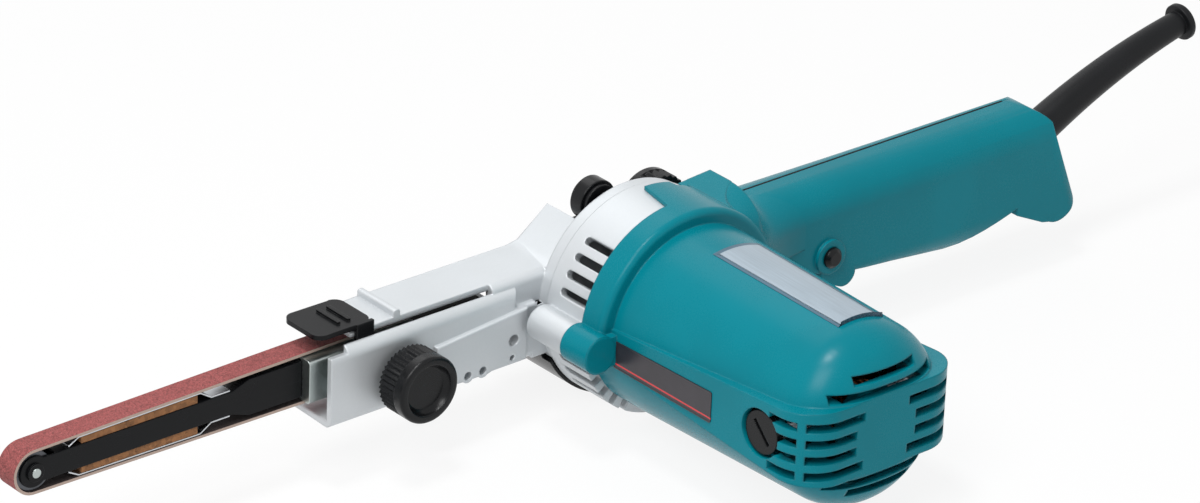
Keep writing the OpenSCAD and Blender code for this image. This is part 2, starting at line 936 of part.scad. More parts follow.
module clamp_knob() {
  foot = plate_far - slide_gap;
  color(black) translate([clamp_x, clamp_z, 0]) {
    grip(clamp_end, foot - clamp_foot_t, clamp_end);
    rod(0, 0, foot - clamp_foot_t - over, foot, clamp_foot_r);
    rod(0, 0, foot - over, seam_w - slide_gap, clamp_stud_r);
  }
}

module cover_knob() {
  foot = cover_near - tab_t - slide_gap;
  color(black) translate([cover_knob_x, cover_knob_z, 0]) {
    rod(0, 0, cover_knob_end + cover_knob_round, foot, cover_knob_r);
    translate([0, 0, cover_knob_end])
      cylinder(h = cover_knob_round, r1 = cover_knob_r - cover_knob_round, r2 = cover_knob_r);
    rod(0, 0, foot - over, seam_w - slide_gap, cover_stud_r);
  }
}

module tension_spring() {
  length = seat_x - arm_rear_x - 2 * slide_gap;
  color(steel) translate([arm_rear_x + slide_gap, 0, 0]) rotate([0, 90, 0])
    coil(spring_r, spring_wire_r, spring_turns, length);
}

// Posts that the gear housing screws pass through
module at_posts() {
  for (a = post_angles) rotate(a) translate([post_c, 0, 0]) children();
}

module gear_housing() {
  inner = ring_r - ring_wall;
  color(silver) difference() {
    union() {
      difference() {
        union() {
          rod(0, 0, seam_w, ring_rear, ring_r);
          rod(0, 0, ring_rear - over, ring_rear + spigot_in, register_r);
        }
        rod(0, 0, seam_w + front_wall, ring_rear - flange_t, inner);
        rod(0, 0, seam_w + front_wall, ring_rear + spigot_in + over, register_r - register_t);
      }
      at_posts() rod(0, 0, seam_w + front_wall - over, ring_rear - flange_t + over, post_r);
      rod(0, 0, plate_far - slide_gap, seam_w + over, spigot_r);
      rod(0, 0, spigot_end, seam_w, ring_land_r);
      rod(lug_x, 0, cast_lug_front, ring_rear, cast_lug_r);
      block([lug_x, -lug_web_half, cast_lug_front], [-inner, lug_web_half, ring_rear]);
    }
    rod(0, 0, spigot_end - over, front_race_at + front_race_w, front_race_r);
    rod(0, 0, spigot_end, seam_w + front_wall + over, front_race_r - ring_wall);
    at_posts() {
      rod(0, 0, seam_w - over, ring_rear + over, post_screw_r + fit_gap);
      rod(0, 0, seam_w - over, seam_w + screw_head_t, post_head_r + slide_gap);
    }
    rod(lug_x, 0, cast_lug_front + over, ring_rear + over, screw_r);
    for (k = [0:vent_upper_count - 1]) vent(vent_upper_start + k * vent_pitch);
    for (k = [0:vent_lower_count - 1]) vent(vent_lower_start + k * vent_pitch);
  }
}

// Cutter for one exhaust vent with a round front end
module vent(a) {
  half = vent_w / 2;
  points = concat([for (i = [0:vent_steps]) let (b = 180 * i / vent_steps - 90) half * [cos(b),
    sin(b)] - [vent_front + half, 0]],
    [[-ring_rear - over, half], [-ring_rear - over, -half]]);
  rotate(a) along_x(ring_r - ring_wall - over, ring_r + over) polygon(points);
}

module pivot_ring() {
  color(steel) difference() {
    rod(0, 0, plate_far - slide_gap - clip_t, plate_far - slide_gap, clip_r);
    rod(0, 0, 0, seam_w, ring_land_r);
  }
}

// Ball bearing as two races and a ball ring
module bearing(at, width, outer, inner) {
  t = (outer - inner) * race_t_share;
  shield = width / 8;
  difference() {
    rod(0, 0, at, at + width, outer);
    rod(0, 0, at - over, at + width + over, inner);
    for (w = [at - over, at + width - shield]) difference() {
      rod(0, 0, w, w + over + shield, outer - t);
      rod(0, 0, w - over, w + 2 * over + shield, inner + t);
    }
  }
}

module front_bearing() {
  color(steel) bearing(front_race_at, front_race_w, front_race_r, shaft_front_r + fit_gap);
}

module rear_bearing() {
  color(steel) bearing(rear_race_at, rear_race_w, rear_race_r, shaft_rear_r + fit_gap);
}

module bearing_sleeve() {
  color(black) difference() {
    rod(0, 0, rear_race_at, rear_race_at + rear_race_w, rear_race_r + sleeve_t);
    rod(0, 0, rear_race_at - over, rear_race_at + rear_race_w + over, rear_race_r);
  }
}

module armature_shaft() {
  pulley_front = -pulley_half;
  color(steel) {
    rod(0, 0, shaft_tip, pulley_front + over, shaft_tip_r);
    rod(0, 0, pulley_front, shaft_mid_front, shaft_front_r);
    rod(0, 0, shaft_mid_front, rear_race_at - over, shaft_mid_r);
    rod(0, 0, rear_race_at - over, rear_race_at + rear_race_w, shaft_rear_r);
  }
}

module drive_pulley() {
  hub_end = front_race_at - slide_gap;
  color(steel) difference() {
    rotate_extrude() polygon([[0, -pulley_half], [pulley_r - pulley_crown, -pulley_half], [pulley_r, 0],
      [pulley_r - pulley_crown, pulley_half], [pulley_hub_r, pulley_half], [pulley_hub_r, hub_end], [0,
        hub_end]]);
    rod(0, 0, -pulley_half - over, hub_end + over, shaft_front_r);
  }
}

module pulley_nut() {
  color(steel) difference() {
    translate([0, 0, -pulley_half - nut_t]) cylinder(h = nut_t, r = nut_r, $fn = 6);
    rod(0, 0, shaft_tip - over, 0, shaft_tip_r);
  }
}

module cooling_fan() {
  rear = fan_front + fan_depth;
  color(black) difference() {
    union() {
      rod(0, 0, rear - fan_web_t, rear, fan_r);
      rod(0, 0, fan_front, rear, fan_hub_r);
      for (k = [0:fan_blades - 1]) rotate(360 * k / fan_blades)
        block([fan_hub_r - over, -blade_t / 2, fan_front], [fan_r - over, blade_t / 2, rear]);
    }
    rod(0, 0, fan_front - over, rear + over, shaft_mid_r);
  }
}

module armature_core() {
  color(steel) difference() {
    rod(0, 0, core_front, core_front + core_len, core_r);
    rod(0, 0, core_front - over, core_front + core_len + over, shaft_mid_r);
    for (k = [0:core_slots - 1]) rotate(360 * k / core_slots)
      block([core_r - core_slot_depth, -core_slot_w / 2, core_front - over],
        [core_r + over, core_slot_w / 2, core_front + core_len + over]);
  }
}

// Overhang of the rotor winding at one end of its core
module winding_ring(w0) {
  translate([0, 0, w0]) rotate_extrude() difference() {
    translate([shaft_mid_r, 0]) square([winding_r - shaft_mid_r, winding_len]);
    translate([winding_r, winding_len]) corner_waste(winding_round);
  }
}

module armature_windings() {
  color(copper) {
    winding_ring(core_front + core_len);
    translate([0, 0, core_front]) mirror([0, 0, 1]) winding_ring(0);
  }
}

module commutator() {
  color(copper) difference() {
    union() {
      rod(0, 0, comm_at, comm_at + comm_len, comm_r);
      rod(0, 0, comm_at, comm_at + riser_len, riser_r);
    }
    rod(0, 0, comm_at - over, comm_at + comm_len + over, shaft_mid_r);
  }
}

module field_core() {
  color(steel) difference() {
    rod(0, 0, field_front, field_front + field_len, bore_r - fit_gap);
    rod(0, 0, field_front - over, field_front + field_len + over, core_r + air_gap);
    for (s = [-1, 1]) translate([s * (field_pocket_out + core_r) / 2, 0, field_front + field_len / 2])
      cube([field_pocket_out - core_r, field_pocket_h, field_len + 2 * over], center = true);
  }
}

// Upper half of the field winding: two legs and two end arcs
module half_coil() {
  w0 = field_front - coil_over;
  w1 = field_front + field_len + coil_over;
  out = field_pocket_out - coil_fit;
  top = field_pocket_h / 2 - coil_fit;
  for (s = [-1, 1]) translate([s > 0 ? coil_in : -out, coil_half_gap, w0]) cube([out - coil_in,
    top - coil_half_gap, w1 - w0]);
  for (w = [w0, w1 - coil_over + slide_gap]) slab(w, w + coil_over - slide_gap) intersection() {
    difference() {
      circle(out);
      circle(coil_in);
    }
    translate([-out, coil_half_gap]) square([2 * out, out]);
  }
}

module field_coils() {
  color(copper) {
    half_coil();
    mirror([0, 1, 0]) half_coil();
  }
}

module fan_baffle() {
  w0 = ring_rear + spigot_in + slide_gap;
  color(black) difference() {
    rod(0, 0, w0, w0 + baffle_t, bore_r - fit_gap);
    rod(0, 0, w0 - over, w0 + baffle_t + over, baffle_in_r);
  }
}

// Repeats a shape on both sides of the barrel
module both_sides() {
  children();
  mirror([1, 0, 0]) children();
}

module brush_holders() {
  color(black) both_sides() difference() {
    cross_rod(brush_tube_in, brush_tube_out, 0, brush_w, brush_tube_r);
    translate([brush_tube_in, 0, brush_w]) cube([2 * (brush_tube_out - cap_plug_len - brush_tube_in),
      brush_thick + 2 * slide_gap, brush_h + 2 * slide_gap], center = true);
    cross_rod(brush_tube_out - cap_plug_len, brush_tube_out + over, 0, brush_w, cap_plug_r + fit_gap);
  }
}

module carbon_brushes() {
  x0 = comm_r + brush_gap;
  color([0.2, 0.2, 0.2]) both_sides() translate([x0, -brush_thick / 2, brush_w - brush_h / 2])
    cube([brush_len, brush_thick, brush_h]);
}

module brush_springs() {
  x0 = comm_r + brush_gap + brush_len + slide_gap;
  color(steel) both_sides() translate([x0, 0, brush_w]) rotate([0, 90, 0])
    coil(brush_coil_r, brush_wire_r, brush_coil_turns, brush_tube_out - cap_plug_len - slide_gap - x0);
}

module brush_caps() {
  x0 = brush_tube_out + slide_gap;
  color([0.25, 0.25, 0.27]) both_sides() difference() {
    union() {
      cross_rod(x0, x0 + cap_t, 0, brush_w, cap_r);
      cross_rod(brush_tube_out - cap_plug_len + slide_gap, x0 + over, 0, brush_w, cap_plug_r);
    }
    translate([x0 + cap_t, 0, brush_w]) rotate([-45, 0, 0])
      cube([2 * cap_slot_depth, cap_slot_len, cap_slot_w], center = true);
  }
}

// Solid of the barrel: a slightly tapered round with a rounded end
module barrel_round() {
  rear = motor_end - end_round;
  rotate_extrude() {
    polygon([[0, ring_rear], [barrel_front_r, ring_rear], [barrel_front_r, collar_rear],
      [barrel_rear_r, rear], [0, rear]]);
    translate([0, rear - over]) square([barrel_rear_r - end_round, end_round + over]);
    translate([barrel_rear_r - end_round, rear]) intersection() {
      circle(end_round);
      square(end_round);
    }
  }
}

// Flat side band that widens towards the end
module side_band() {
  intersection() {
    along_x(-band_half_w, band_half_w) polygon([[-collar_rear + over, band_front_half],
      [-collar_rear + over, -band_front_half],
      [-motor_end, -band_rear_half], [-motor_end, band_rear_half]]);
    along_z(-band_rear_half, band_rear_half) difference() {
      translate([-band_half_w, ring_rear]) square([2 * band_half_w, motor_end - ring_rear]);
      translate([band_half_w, motor_end]) corner_waste(band_corner);
      translate([-band_half_w, motor_end]) mirror([1, 0]) corner_waste(band_corner);
    }
  }
}

// Raised collar, which ends on both sides of the barrel's lower half
module collar() {
  difference() {
    translate([0, 0, ring_rear]) rotate_extrude() difference() {
      square([collar_r, collar_len]);
      translate([collar_r, collar_len]) corner_waste(collar_round);
    }
    slab(ring_rear - over, collar_rear + over) wedge(collar_r, collar_from, collar_to);
  }
}

// Hood of the collar that reaches forward over the top of the gear housing ring
module hood() {
  x0 = hood_notch_from;
  x1 = hood_notch_to;
  intersection() {
    rod(0, 0, hood_front, ring_rear + over, collar_r);
    along_z(collar_r / 2, collar_r + over) polygon([[-hood_left, ring_rear + 2 * over], [0,
      hood_front - over],
      [x0, hood_front - over], [x0 + over, hood_front + hood_notch], [x1, hood_front + hood_notch],
      [x1 + over, hood_front - over], [root_peak_x, hood_front - over], [root_peak_x,
        ring_rear + 2 * over]]);
  }
}

// One straight cooling slot through the end, between two places across
module end_slot(x0, x1, z) {
  block([x0, z - slot_h / 2, motor_end - end_slot_depth], [x1, z + slot_h / 2, motor_end + over]);
}

module cooling_slots() {
  for (k = [-1.5, -0.5, 0.5, 1.5]) both_sides() {
    z = k * end_slot_pitch - end_slot_drop;
    end_slot(abs(k) > 1 ? end_slot_in : end_slot_in + end_slot_step, end_slot_out, z);
    block([band_half_w - side_slot_depth, z - slot_h / 2, side_slot_front],
      [band_half_w + over, z + slot_h / 2, side_slot_rear]);
  }
  for (s = concat(crown_slot_share, keel_slot_share))
    end_slot(-barrel_rear_r * s.x, barrel_rear_r * s.x, barrel_rear_r * s.y);
}

// Section of the handle in y and z from a low edge up, drawn in by a wall
module handle_section(inset, low) {
  near = handle_near - inset;
  far = handle_far + inset;
  top = handle_top - inset;
  r = handle_corner - inset;
  translate([-near, low]) square([near - far, top - r - low]);
  translate([r - near, low]) square([near - far - 2 * r, top - low]);
  for (y = [r - near, -far - r]) translate([y, top - r]) circle(r);
}

// Section of the grip, with its lower corners rounded too
module grip_section() {
  difference() {
    handle_section(0, -belly_low);
    translate([-handle_near, -belly_low]) rotate(180) corner_waste(handle_under_r);
    translate([-handle_far, -belly_low]) mirror([0, 1]) corner_waste(handle_under_r);
  }
}

// Side view of the handle's grip
module grip_outline() {
  intersection() {
    translate([belly_x, belly_r - belly_low]) circle(belly_r);
    polygon([[split_front, -heel_low], [split_front, handle_top], [top_rear, handle_top],
      [rear_at(rear_upper_z), rear_upper_z], [rear_at(0), 0], [rear_at(0), -heel_low]]);
  }
}

// Side view of the handle's heel in front of its round
module heel_outline() {
  polygon([[heel_front, 0], [rear_at(0), 0], rear_touch, [heel_x, heel_z - heel_r],
    [heel_dip, -heel_dip_z], [heel_front, -heel_front_z]]);
}

// Side view of the finger lug in front of its round
module lug_outline() {
  toe = [-lug_bottom_r * sin(rear_tilt), lug_bottom_r * (1 - cos(rear_tilt))];
  polygon([[lug_front_x, 0], [lug_front_x, -lug_front_z], [lug_bottom_x, -lug_bottom_z] + toe,
    [lug_bottom_x, -lug_bottom_z], [lug_bottom_x + lug_bottom_r, lug_bottom_r - lug_bottom_z],
    [lug_bottom_x + lug_bottom_r, 0]]);
}

// Side view of the root that joins the handle to the motor housing, with a hollow at its back
module root_outline() {
  a0 = 360 + atan2(root_peak_z - root_mid_z, root_peak_x - root_mid_x);
  hollow = [for (i = [0:root_arc_steps]) let (a = a0 + (270 - a0) * i / root_arc_steps)
    [root_mid_x, root_mid_z] + root_arc_r * [cos(a), sin(a)]];
  polygon(concat([[root_front_x, -root_low_z], [root_front_x, root_front_z]], hollow,
    [[root_mid_x, -root_low_z / 3], [root_peak_x, -root_low_z]]));
}

// Root of the handle: its shoulder runs on into the collar, with a flap that falls away in a round hollow
module root_form() {
  intersection() {
    slab(handle_mid, handle_near) polygon([[root_front_x, -root_low_z], [root_front_x, handle_top],
      [split_front + over, handle_top], [split_front + over, -root_low_z / 3], [root_peak_x,
        -root_low_z]]);
    along_x(root_front_x, split_front + over) handle_section(0, -root_low_z - over);
  }
  foot = collar_rear - collar_round;
  flank_r = (pow(foot - root_crease, 2) + pow(norm([root_peak_x, root_peak_z]) - collar_r + root_dip, 2))
    / (2 * (norm([root_peak_x, root_peak_z]) - collar_r + root_dip));
  difference() {
    slab(seam_w, foot) root_outline();
    rotate_extrude() intersection() {
      translate([collar_r - root_dip + flank_r, foot]) circle(flank_r);
      translate([0, root_crease]) square([collar_r + 2 * flank_r, foot]);
    }
  }
}

// Block with the handle's sloping rear face and its rounded upright corners
module rear_round() {
  translate([heel_x, heel_z, 0]) rotate(rear_tilt) along_z(-handle_rear, handle_rear) difference() {
    translate([-2 * handle_rear, handle_far]) square([2 * handle_rear + heel_r,
      handle_near - handle_far]);
    translate([heel_r, handle_near]) corner_waste(rear_corner);
    translate([heel_r, handle_far]) mirror([0, 1]) corner_waste(rear_corner);
  }
}

// Whole handle form over both halves
module handle_form() {
  intersection() {
    slab(handle_far, handle_near) grip_outline();
    along_x(split_front, handle_rear + over) grip_section();
    rear_round();
  }
  intersection() {
    union() {
      slab(handle_far, handle_near) heel_outline();
      rod(heel_x, heel_z, handle_far, handle_near, heel_r);
      slab(handle_far, handle_near) lug_outline();
      rod(lug_bottom_x, lug_bottom_r - lug_bottom_z, handle_far, handle_near, lug_bottom_r);
    }
    rear_round();
  }
}

// Space inside the handle for the switch and the leads, with cheeks left for the trigger's pin
module handle_cavity() {
  difference() {
    intersection() {
      slab(handle_far, handle_near) intersection() {
        translate([cavity_front, -cavity_low]) square([cavity_rear - cavity_front, 2 * handle_top]);
        translate([belly_x, belly_r - belly_low]) circle(belly_r - handle_shell);
      }
      along_x(cavity_front, cavity_rear) handle_section(handle_shell, -heel_low);
    }
    block([trigger_pivot_x - cheek_half, -heel_low, handle_far], [trigger_pivot_x + cheek_half,
      switch_low - free_gap, handle_near]);
  }
}

// Opening that the trigger moves in
module trigger_bay() {
  half = trigger_half + free_gap;
  block([trigger_front - 4 * free_gap, -heel_low, handle_mid - half],
    [trigger_back + 2 * free_gap, trigger_bay_top, handle_mid + half]);
}

// Places a child on one stretch of the cord guard, with its axis along the cord
module on_guard(k) {
  place = [[guard_x, guard_z], guard_mid, guard_tip];
  angle = [guard_a1, guard_a2, guard_a2];
  translate([place[k].x, place[k].y, handle_mid]) rotate([0, 90, 0]) rotate([-angle[k], 0, 0]) children();
}

// First stretch of the cord guard, grown by a clearance
module guard_root(grow) {
  on_guard(0) cylinder(h = guard_step, r1 = guard_root_r + grow,
    r2 = guard_mid_r + guard_shoulder + grow);
}

// Foot of the cord guard inside the handle, grown by a clearance
module guard_foot(grow) {
  on_guard(0) translate([0, 0, -grow]) cylinder(h = guard_foot_t + 2 * grow, r = guard_foot_r + grow);
}

module cord_guard() {
  color(black) difference() {
    union() {
      guard_root(0);
      on_guard(1) translate([0, 0, -guard_lap]) cylinder(h = guard_step + guard_lap, r1 = guard_mid_r,
        r2 = guard_tip_r);
      guard_foot(0);
      on_guard(2) translate([0, 0, -guard_flange_t]) cylinder(h = guard_flange_t, r = guard_flange_r);
    }
    on_guard(0) translate([0, 0, -over]) cylinder(h = guard_step + over - guard_lap / 2,
      r = cord_r + guard_shoulder);
    on_guard(1) translate([0, 0, -guard_lap]) cylinder(h = guard_step + guard_lap + over, r = cord_r);
  }
}

// Boss and cut for the lock button on the near side
module lock_place() {
  translate([lock_x, lock_z, 0]) children();
}

module motor_housing() {
  color(teal) difference() {
    union() {
      difference() {
        union() {
          barrel_round();
          side_band();
          collar();
          hood();
          rod(lug_x, 0, ring_rear, lug_rear, lug_r);
          block([lug_x, -lug_web_half, ring_rear], [-bore_r, lug_web_half, lug_rear]);
        }
        rod(0, 0, ring_rear - over, motor_end - end_round, bore_r);
        rod(0, 0, ring_rear - over, bore_end, end_bore_r);
        block([-brush_tube_out, -brush_tube_r - free_gap, band_cavity_front],
          [brush_tube_out, brush_tube_r + free_gap, side_slot_rear]);
        cooling_slots();
        both_sides() {
          cross_rod(brush_tube_out, band_half_w + over, 0, brush_w, cap_recess_r);
        }
        rod(lug_x, 0, ring_rear - over, lug_rear + over, screw_r);
        rod(lug_x, 0, lug_rear - screw_head_t - free_gap, lug_rear + over, screw_head_r + free_gap);
      }
      rod(0, 0, rear_race_at, bore_end + over, rear_race_r + sleeve_t + motor_wall / 2);
      intersection() {
        handle_form();
        slab(handle_mid, handle_near + over) translate([0, -2 * handle_top]) square([2 * handle_rear,
          4 * handle_top]);
      }
      difference() {
        root_form();
        slab(0, handle_mid) translate([split_front, -2 * handle_top]) square([handle_rear,
          4 * handle_top]);
      }
      lock_place() rod(0, 0, handle_near - over, handle_near + lock_boss_out, lock_boss_r);
    }
    rod(0, 0, rear_race_at - over, bore_end + slide_gap, rear_race_r + sleeve_t);
    rod(0, 0, 0, ring_rear, ring_r + slide_gap);
    rod(0, 0, 0, seam_w + slide_gap, swing_room);
    rod(0, 0, ring_rear - over, ring_rear + spigot_in, register_r + spigot_clear);
    rod(0, 0, ring_rear - over, collar_rear, bore_r);
    at_posts() rod(0, 0, ring_rear - over, collar_rear - collar_round, post_screw_r);
    difference() {
      handle_cavity();
      at_strap() rod(0, 0, strap_seat + slide_gap, handle_near, strap_post_r);
    }
    at_strap() rod(0, 0, 0, strap_seat - strap_t + strap_screw_len + over, strap_screw_r);
    trigger_bay();
    guard_root(slide_gap);
    guard_foot(slide_gap);
    for (p = hscrew_places) rod(p.x, p.y, handle_mid - over, hscrew_far() + hscrew_len + slide_gap,
      hscrew_r);
    lock_place() rod(0, 0, lock_in - free_gap, handle_near + lock_boss_out + over, lock_r + fit_gap);
    lock_place() rod(0, 0, lock_in - lock_room, handle_near - handle_shell, lock_flange_r + free_gap);
    rod(trigger_pivot_x, trigger_pivot_z, handle_mid - trigger_half - trigger_pin_out,
      handle_mid + trigger_half + trigger_pin_out, trigger_pin_r + fit_gap);
  }
}

// Depth of the seat under the handle screws' heads
function hscrew_far() = handle_far + hscrew_sink + hscrew_head_t;

module handle_cover() {
  color(teal) difference() {
    intersection() {
      handle_form();
      slab(handle_far - over, handle_mid) translate([0, -2 * handle_top]) square([2 * handle_rear,
        4 * handle_top]);
    }
    rod(0, 0, 0, handle_mid, swing_room);
    handle_cavity();
    trigger_bay();
    guard_root(slide_gap);
    guard_foot(slide_gap);
    for (p = hscrew_places) {
      rod(p.x, p.y, handle_far - over, handle_mid + over, hscrew_r + fit_gap);
      rod(p.x, p.y, handle_far - over, hscrew_far(), hscrew_head_r + fit_gap);
    }
    rod(trigger_pivot_x, trigger_pivot_z, handle_mid - trigger_half - trigger_pin_out,
      handle_mid + trigger_half + trigger_pin_out, trigger_pin_r + fit_gap);
  }
}

module handle_screws() {
  color(steel) for (p = hscrew_places) {
    rod(p.x, p.y, hscrew_far() - hscrew_head_t, hscrew_far(), hscrew_head_r);
    rod(p.x, p.y, hscrew_far() - over, hscrew_far() + hscrew_len, hscrew_r);
  }
}

module housing_screws() {
  head = lug_rear - screw_head_t;
  color(steel) {
    rod(lug_x, 0, cast_lug_front + 2 * over, head + over, screw_r);
    rod(lug_x, 0, head, lug_rear, screw_head_r);
    at_posts() {
      rod(0, 0, seam_w + slide_gap, seam_w + screw_head_t, post_head_r);
      rod(0, 0, seam_w + over, collar_rear - collar_round, post_screw_r);
    }
  }
}

module switch_body() {
  color(black) block([switch_x, switch_low, handle_mid - switch_half],
    [switch_x + switch_len, switch_low + switch_h, handle_mid + switch_half]);
}

module trigger() {
  color(black) {
    slab(handle_mid - trigger_half, handle_mid + trigger_half) difference() {
      union() {
        polygon([[trigger_front, trigger_tip_z], [trigger_front, trigger_front_z],
          [trigger_pivot_x, trigger_pivot_z + 2 * trigger_pin_r], [trigger_back, trigger_pivot_z],
            [trigger_back, trigger_rear_z]]);
        translate([trigger_pivot_x, trigger_pivot_z]) circle(2 * trigger_pin_r - slide_gap);
      }
      translate([(trigger_front + trigger_back) / 2, trigger_scoop_z]) circle(trigger_scoop_r);
    }
    rod(trigger_pivot_x, trigger_pivot_z, handle_mid - trigger_half - trigger_pin_out + slide_gap,
      handle_mid + trigger_half + trigger_pin_out - slide_gap, trigger_pin_r);
  }
}

module lock_button() {
  color(black) lock_place() {
    rod(0, 0, lock_in, handle_near + lock_out - cover_knob_round, lock_r);
    translate([0, 0, handle_near + lock_out - cover_knob_round])
      cylinder(h = cover_knob_round, r1 = lock_r, r2 = lock_r - cover_knob_round);
    rod(0, 0, lock_in, lock_in + lock_flange_t, lock_flange_r);
  }
}

module cord_clamp() {
  color(black) difference() {
    block([strap_x, strap_z - strap_half, strap_seat - strap_t], [strap_x + strap_len,
      strap_z + strap_half, strap_seat]);
    at_strap() rod(0, 0, 0, strap_seat + over, strap_screw_r + fit_gap);
  }
}

// Repeats a shape at the cord clamp's two screws
module at_strap() {
  for (s = [-1, 1]) translate([strap_x + strap_len / 2, strap_z + s * strap_screw_at, 0]) children();
}

module clamp_screws() {
  head = strap_seat - strap_t;
  color(steel) at_strap() {
    rod(0, 0, head - strap_screw_head_t, head, strap_screw_head_r);
    rod(0, 0, head - over, head + strap_screw_len, strap_screw_r);
  }
}

placed() motor_housing();
placed() handle_cover();
placed() gear_housing();
placed() field_core();
placed() field_coils();
placed() front_bearing();
placed() rear_bearing();
placed() bearing_sleeve();
placed() brush_holders();
placed() carbon_brushes();
placed() brush_springs();
placed() brush_caps();
placed() fan_baffle();
placed() switch_body();
placed() cord_guard();
placed() cord_clamp();
placed() clamp_screws();
placed() housing_screws();
placed() handle_screws();
placed() pivot_ring();
placed() armature_shaft();
placed() armature_core();
placed() armature_windings();
placed() commutator();
placed() cooling_fan();
placed() drive_pulley();
placed() pulley_nut();
placed() arm_holder();
placed() belt_cover();
placed() sanding_belt();
placed() tension_spring();
placed() arm();
placed() arm_bracket();
placed() thumb_lever();
placed() upper_platen();
placed() lower_platen();
placed() upper_pad();
placed() lower_pad();
placed() roller_pin();
placed() idler_roller();
placed() tracking_knob();
placed() clamp_knob();
placed() cover_knob();
placed() trigger();
placed() lock_button();
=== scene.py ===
"""Dressed scene of a narrow belt file sander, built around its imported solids."""

import json
import math
from contextlib import contextmanager

import bmesh
import bpy
from mathutils import Matrix, Vector


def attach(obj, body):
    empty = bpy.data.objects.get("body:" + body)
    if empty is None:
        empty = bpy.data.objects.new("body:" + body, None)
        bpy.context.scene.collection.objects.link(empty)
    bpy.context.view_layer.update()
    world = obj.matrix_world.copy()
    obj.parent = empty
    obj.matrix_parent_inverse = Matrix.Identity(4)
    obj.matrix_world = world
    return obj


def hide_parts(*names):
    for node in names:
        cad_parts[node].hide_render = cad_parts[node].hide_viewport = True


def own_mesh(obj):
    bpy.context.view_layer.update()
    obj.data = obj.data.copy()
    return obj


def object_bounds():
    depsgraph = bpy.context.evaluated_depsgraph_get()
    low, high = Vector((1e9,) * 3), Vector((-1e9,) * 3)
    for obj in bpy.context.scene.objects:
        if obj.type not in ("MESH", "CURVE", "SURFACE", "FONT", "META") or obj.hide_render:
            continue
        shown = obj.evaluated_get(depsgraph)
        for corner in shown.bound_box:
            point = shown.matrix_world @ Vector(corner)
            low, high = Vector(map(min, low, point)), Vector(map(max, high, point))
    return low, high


bl_info = {
    "name": "Belt File Sander",
    "version": (1, 0, 0),
    "blender": (4, 5, 0),
    "location": "3D View > Sidebar > Sander",
    "description": "Dresses the solids of a narrow belt file sander with its looks",
    "category": "Object",
}

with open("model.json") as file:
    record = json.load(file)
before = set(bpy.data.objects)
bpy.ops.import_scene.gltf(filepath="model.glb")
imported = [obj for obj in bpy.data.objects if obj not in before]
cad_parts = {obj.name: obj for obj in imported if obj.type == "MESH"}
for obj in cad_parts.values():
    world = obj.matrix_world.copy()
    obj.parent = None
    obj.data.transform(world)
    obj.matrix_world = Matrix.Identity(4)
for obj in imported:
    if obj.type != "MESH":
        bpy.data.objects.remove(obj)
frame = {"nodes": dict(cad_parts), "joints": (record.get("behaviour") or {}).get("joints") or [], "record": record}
SOLID_BOX = [list(corner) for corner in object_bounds()]
BODY_OF = {node: body for body, nodes in frame["record"]["behaviour"]["bodies"].items() for node in nodes}
JOINT = {joint["name"]: joint for joint in frame["joints"]}
DRIVE = Vector(JOINT["rotor_spin"]["pos_m"])
ROLLER = Vector(JOINT["idler_spin"]["pos_m"])
MM = 0.001


def at(x, w, z):
    """Point at x along the tool, w towards the motor and z up from the drive axis, in millimetres."""
    return DRIVE + Vector((x, -w, z)) * MM


def linear(red, green, blue):
    """Scene colour of a screen colour given in steps of 255."""
    steps = [value / 255 for value in (red, green, blue)]
    return tuple(v / 12.92 if v <= 0.04045 else ((v + 0.055) / 1.055) ** 2.4 for v in steps)


# Shader sums

class Field:
    """A value over a surface: sums and products of fields add the nodes that work them out."""

    def __init__(self, tree, socket):
        self.tree = tree
        self.socket = socket

    def _sum(self, operation, first, second):
        """One step of arithmetic between fields or plain numbers."""
        return add_node(self.tree, "ShaderNodeMath", {"operation": operation}, {0: first, 1: second})

    def __add__(self, other):
        return self._sum("ADD", self, other)

    def __radd__(self, other):
        return self._sum("ADD", other, self)

    def __sub__(self, other):
        return self._sum("SUBTRACT", self, other)

    def __rsub__(self, other):
        return self._sum("SUBTRACT", other, self)

    def __mul__(self, other):
        return self._sum("MULTIPLY", self, other)

    def __gt__(self, other):
        return self._sum("GREATER_THAN", self, other)

    def __lt__(self, other):
        return self._sum("LESS_THAN", self, other)


def join(tree, socket, value):
    """Links a field to a socket, or sets the socket to a plain value."""
    if isinstance(value, Field):
        tree.links.new(value.socket, socket)
    elif socket.type == "RGBA" and len(value) == 3:
        socket.default_value = (*value, 1)
    else:
        socket.default_value = value


def add_node(tree, kind, settings=None, sockets=None, out=0):
    """Adds a node to a tree, sets it up, joins its sockets and gives one of its outputs."""
    node = tree.nodes.new(kind)
    for name, value in (settings or {}).items():
        setattr(node, name, value)
    for name, value in (sockets or {}).items():
        join(tree, node.inputs[name], value)
    return Field(tree, node.outputs[out])


def shown(tree):
    """1 for the rays that show the white surround: straight, mirrored or let through."""
    straight, mirrored, through = (add_node(tree, "ShaderNodeLightPath", out=f"Is {kind} Ray")
                                   for kind in ("Camera", "Glossy", "Transmission"))
    return (straight + mirrored + through) > 0.5


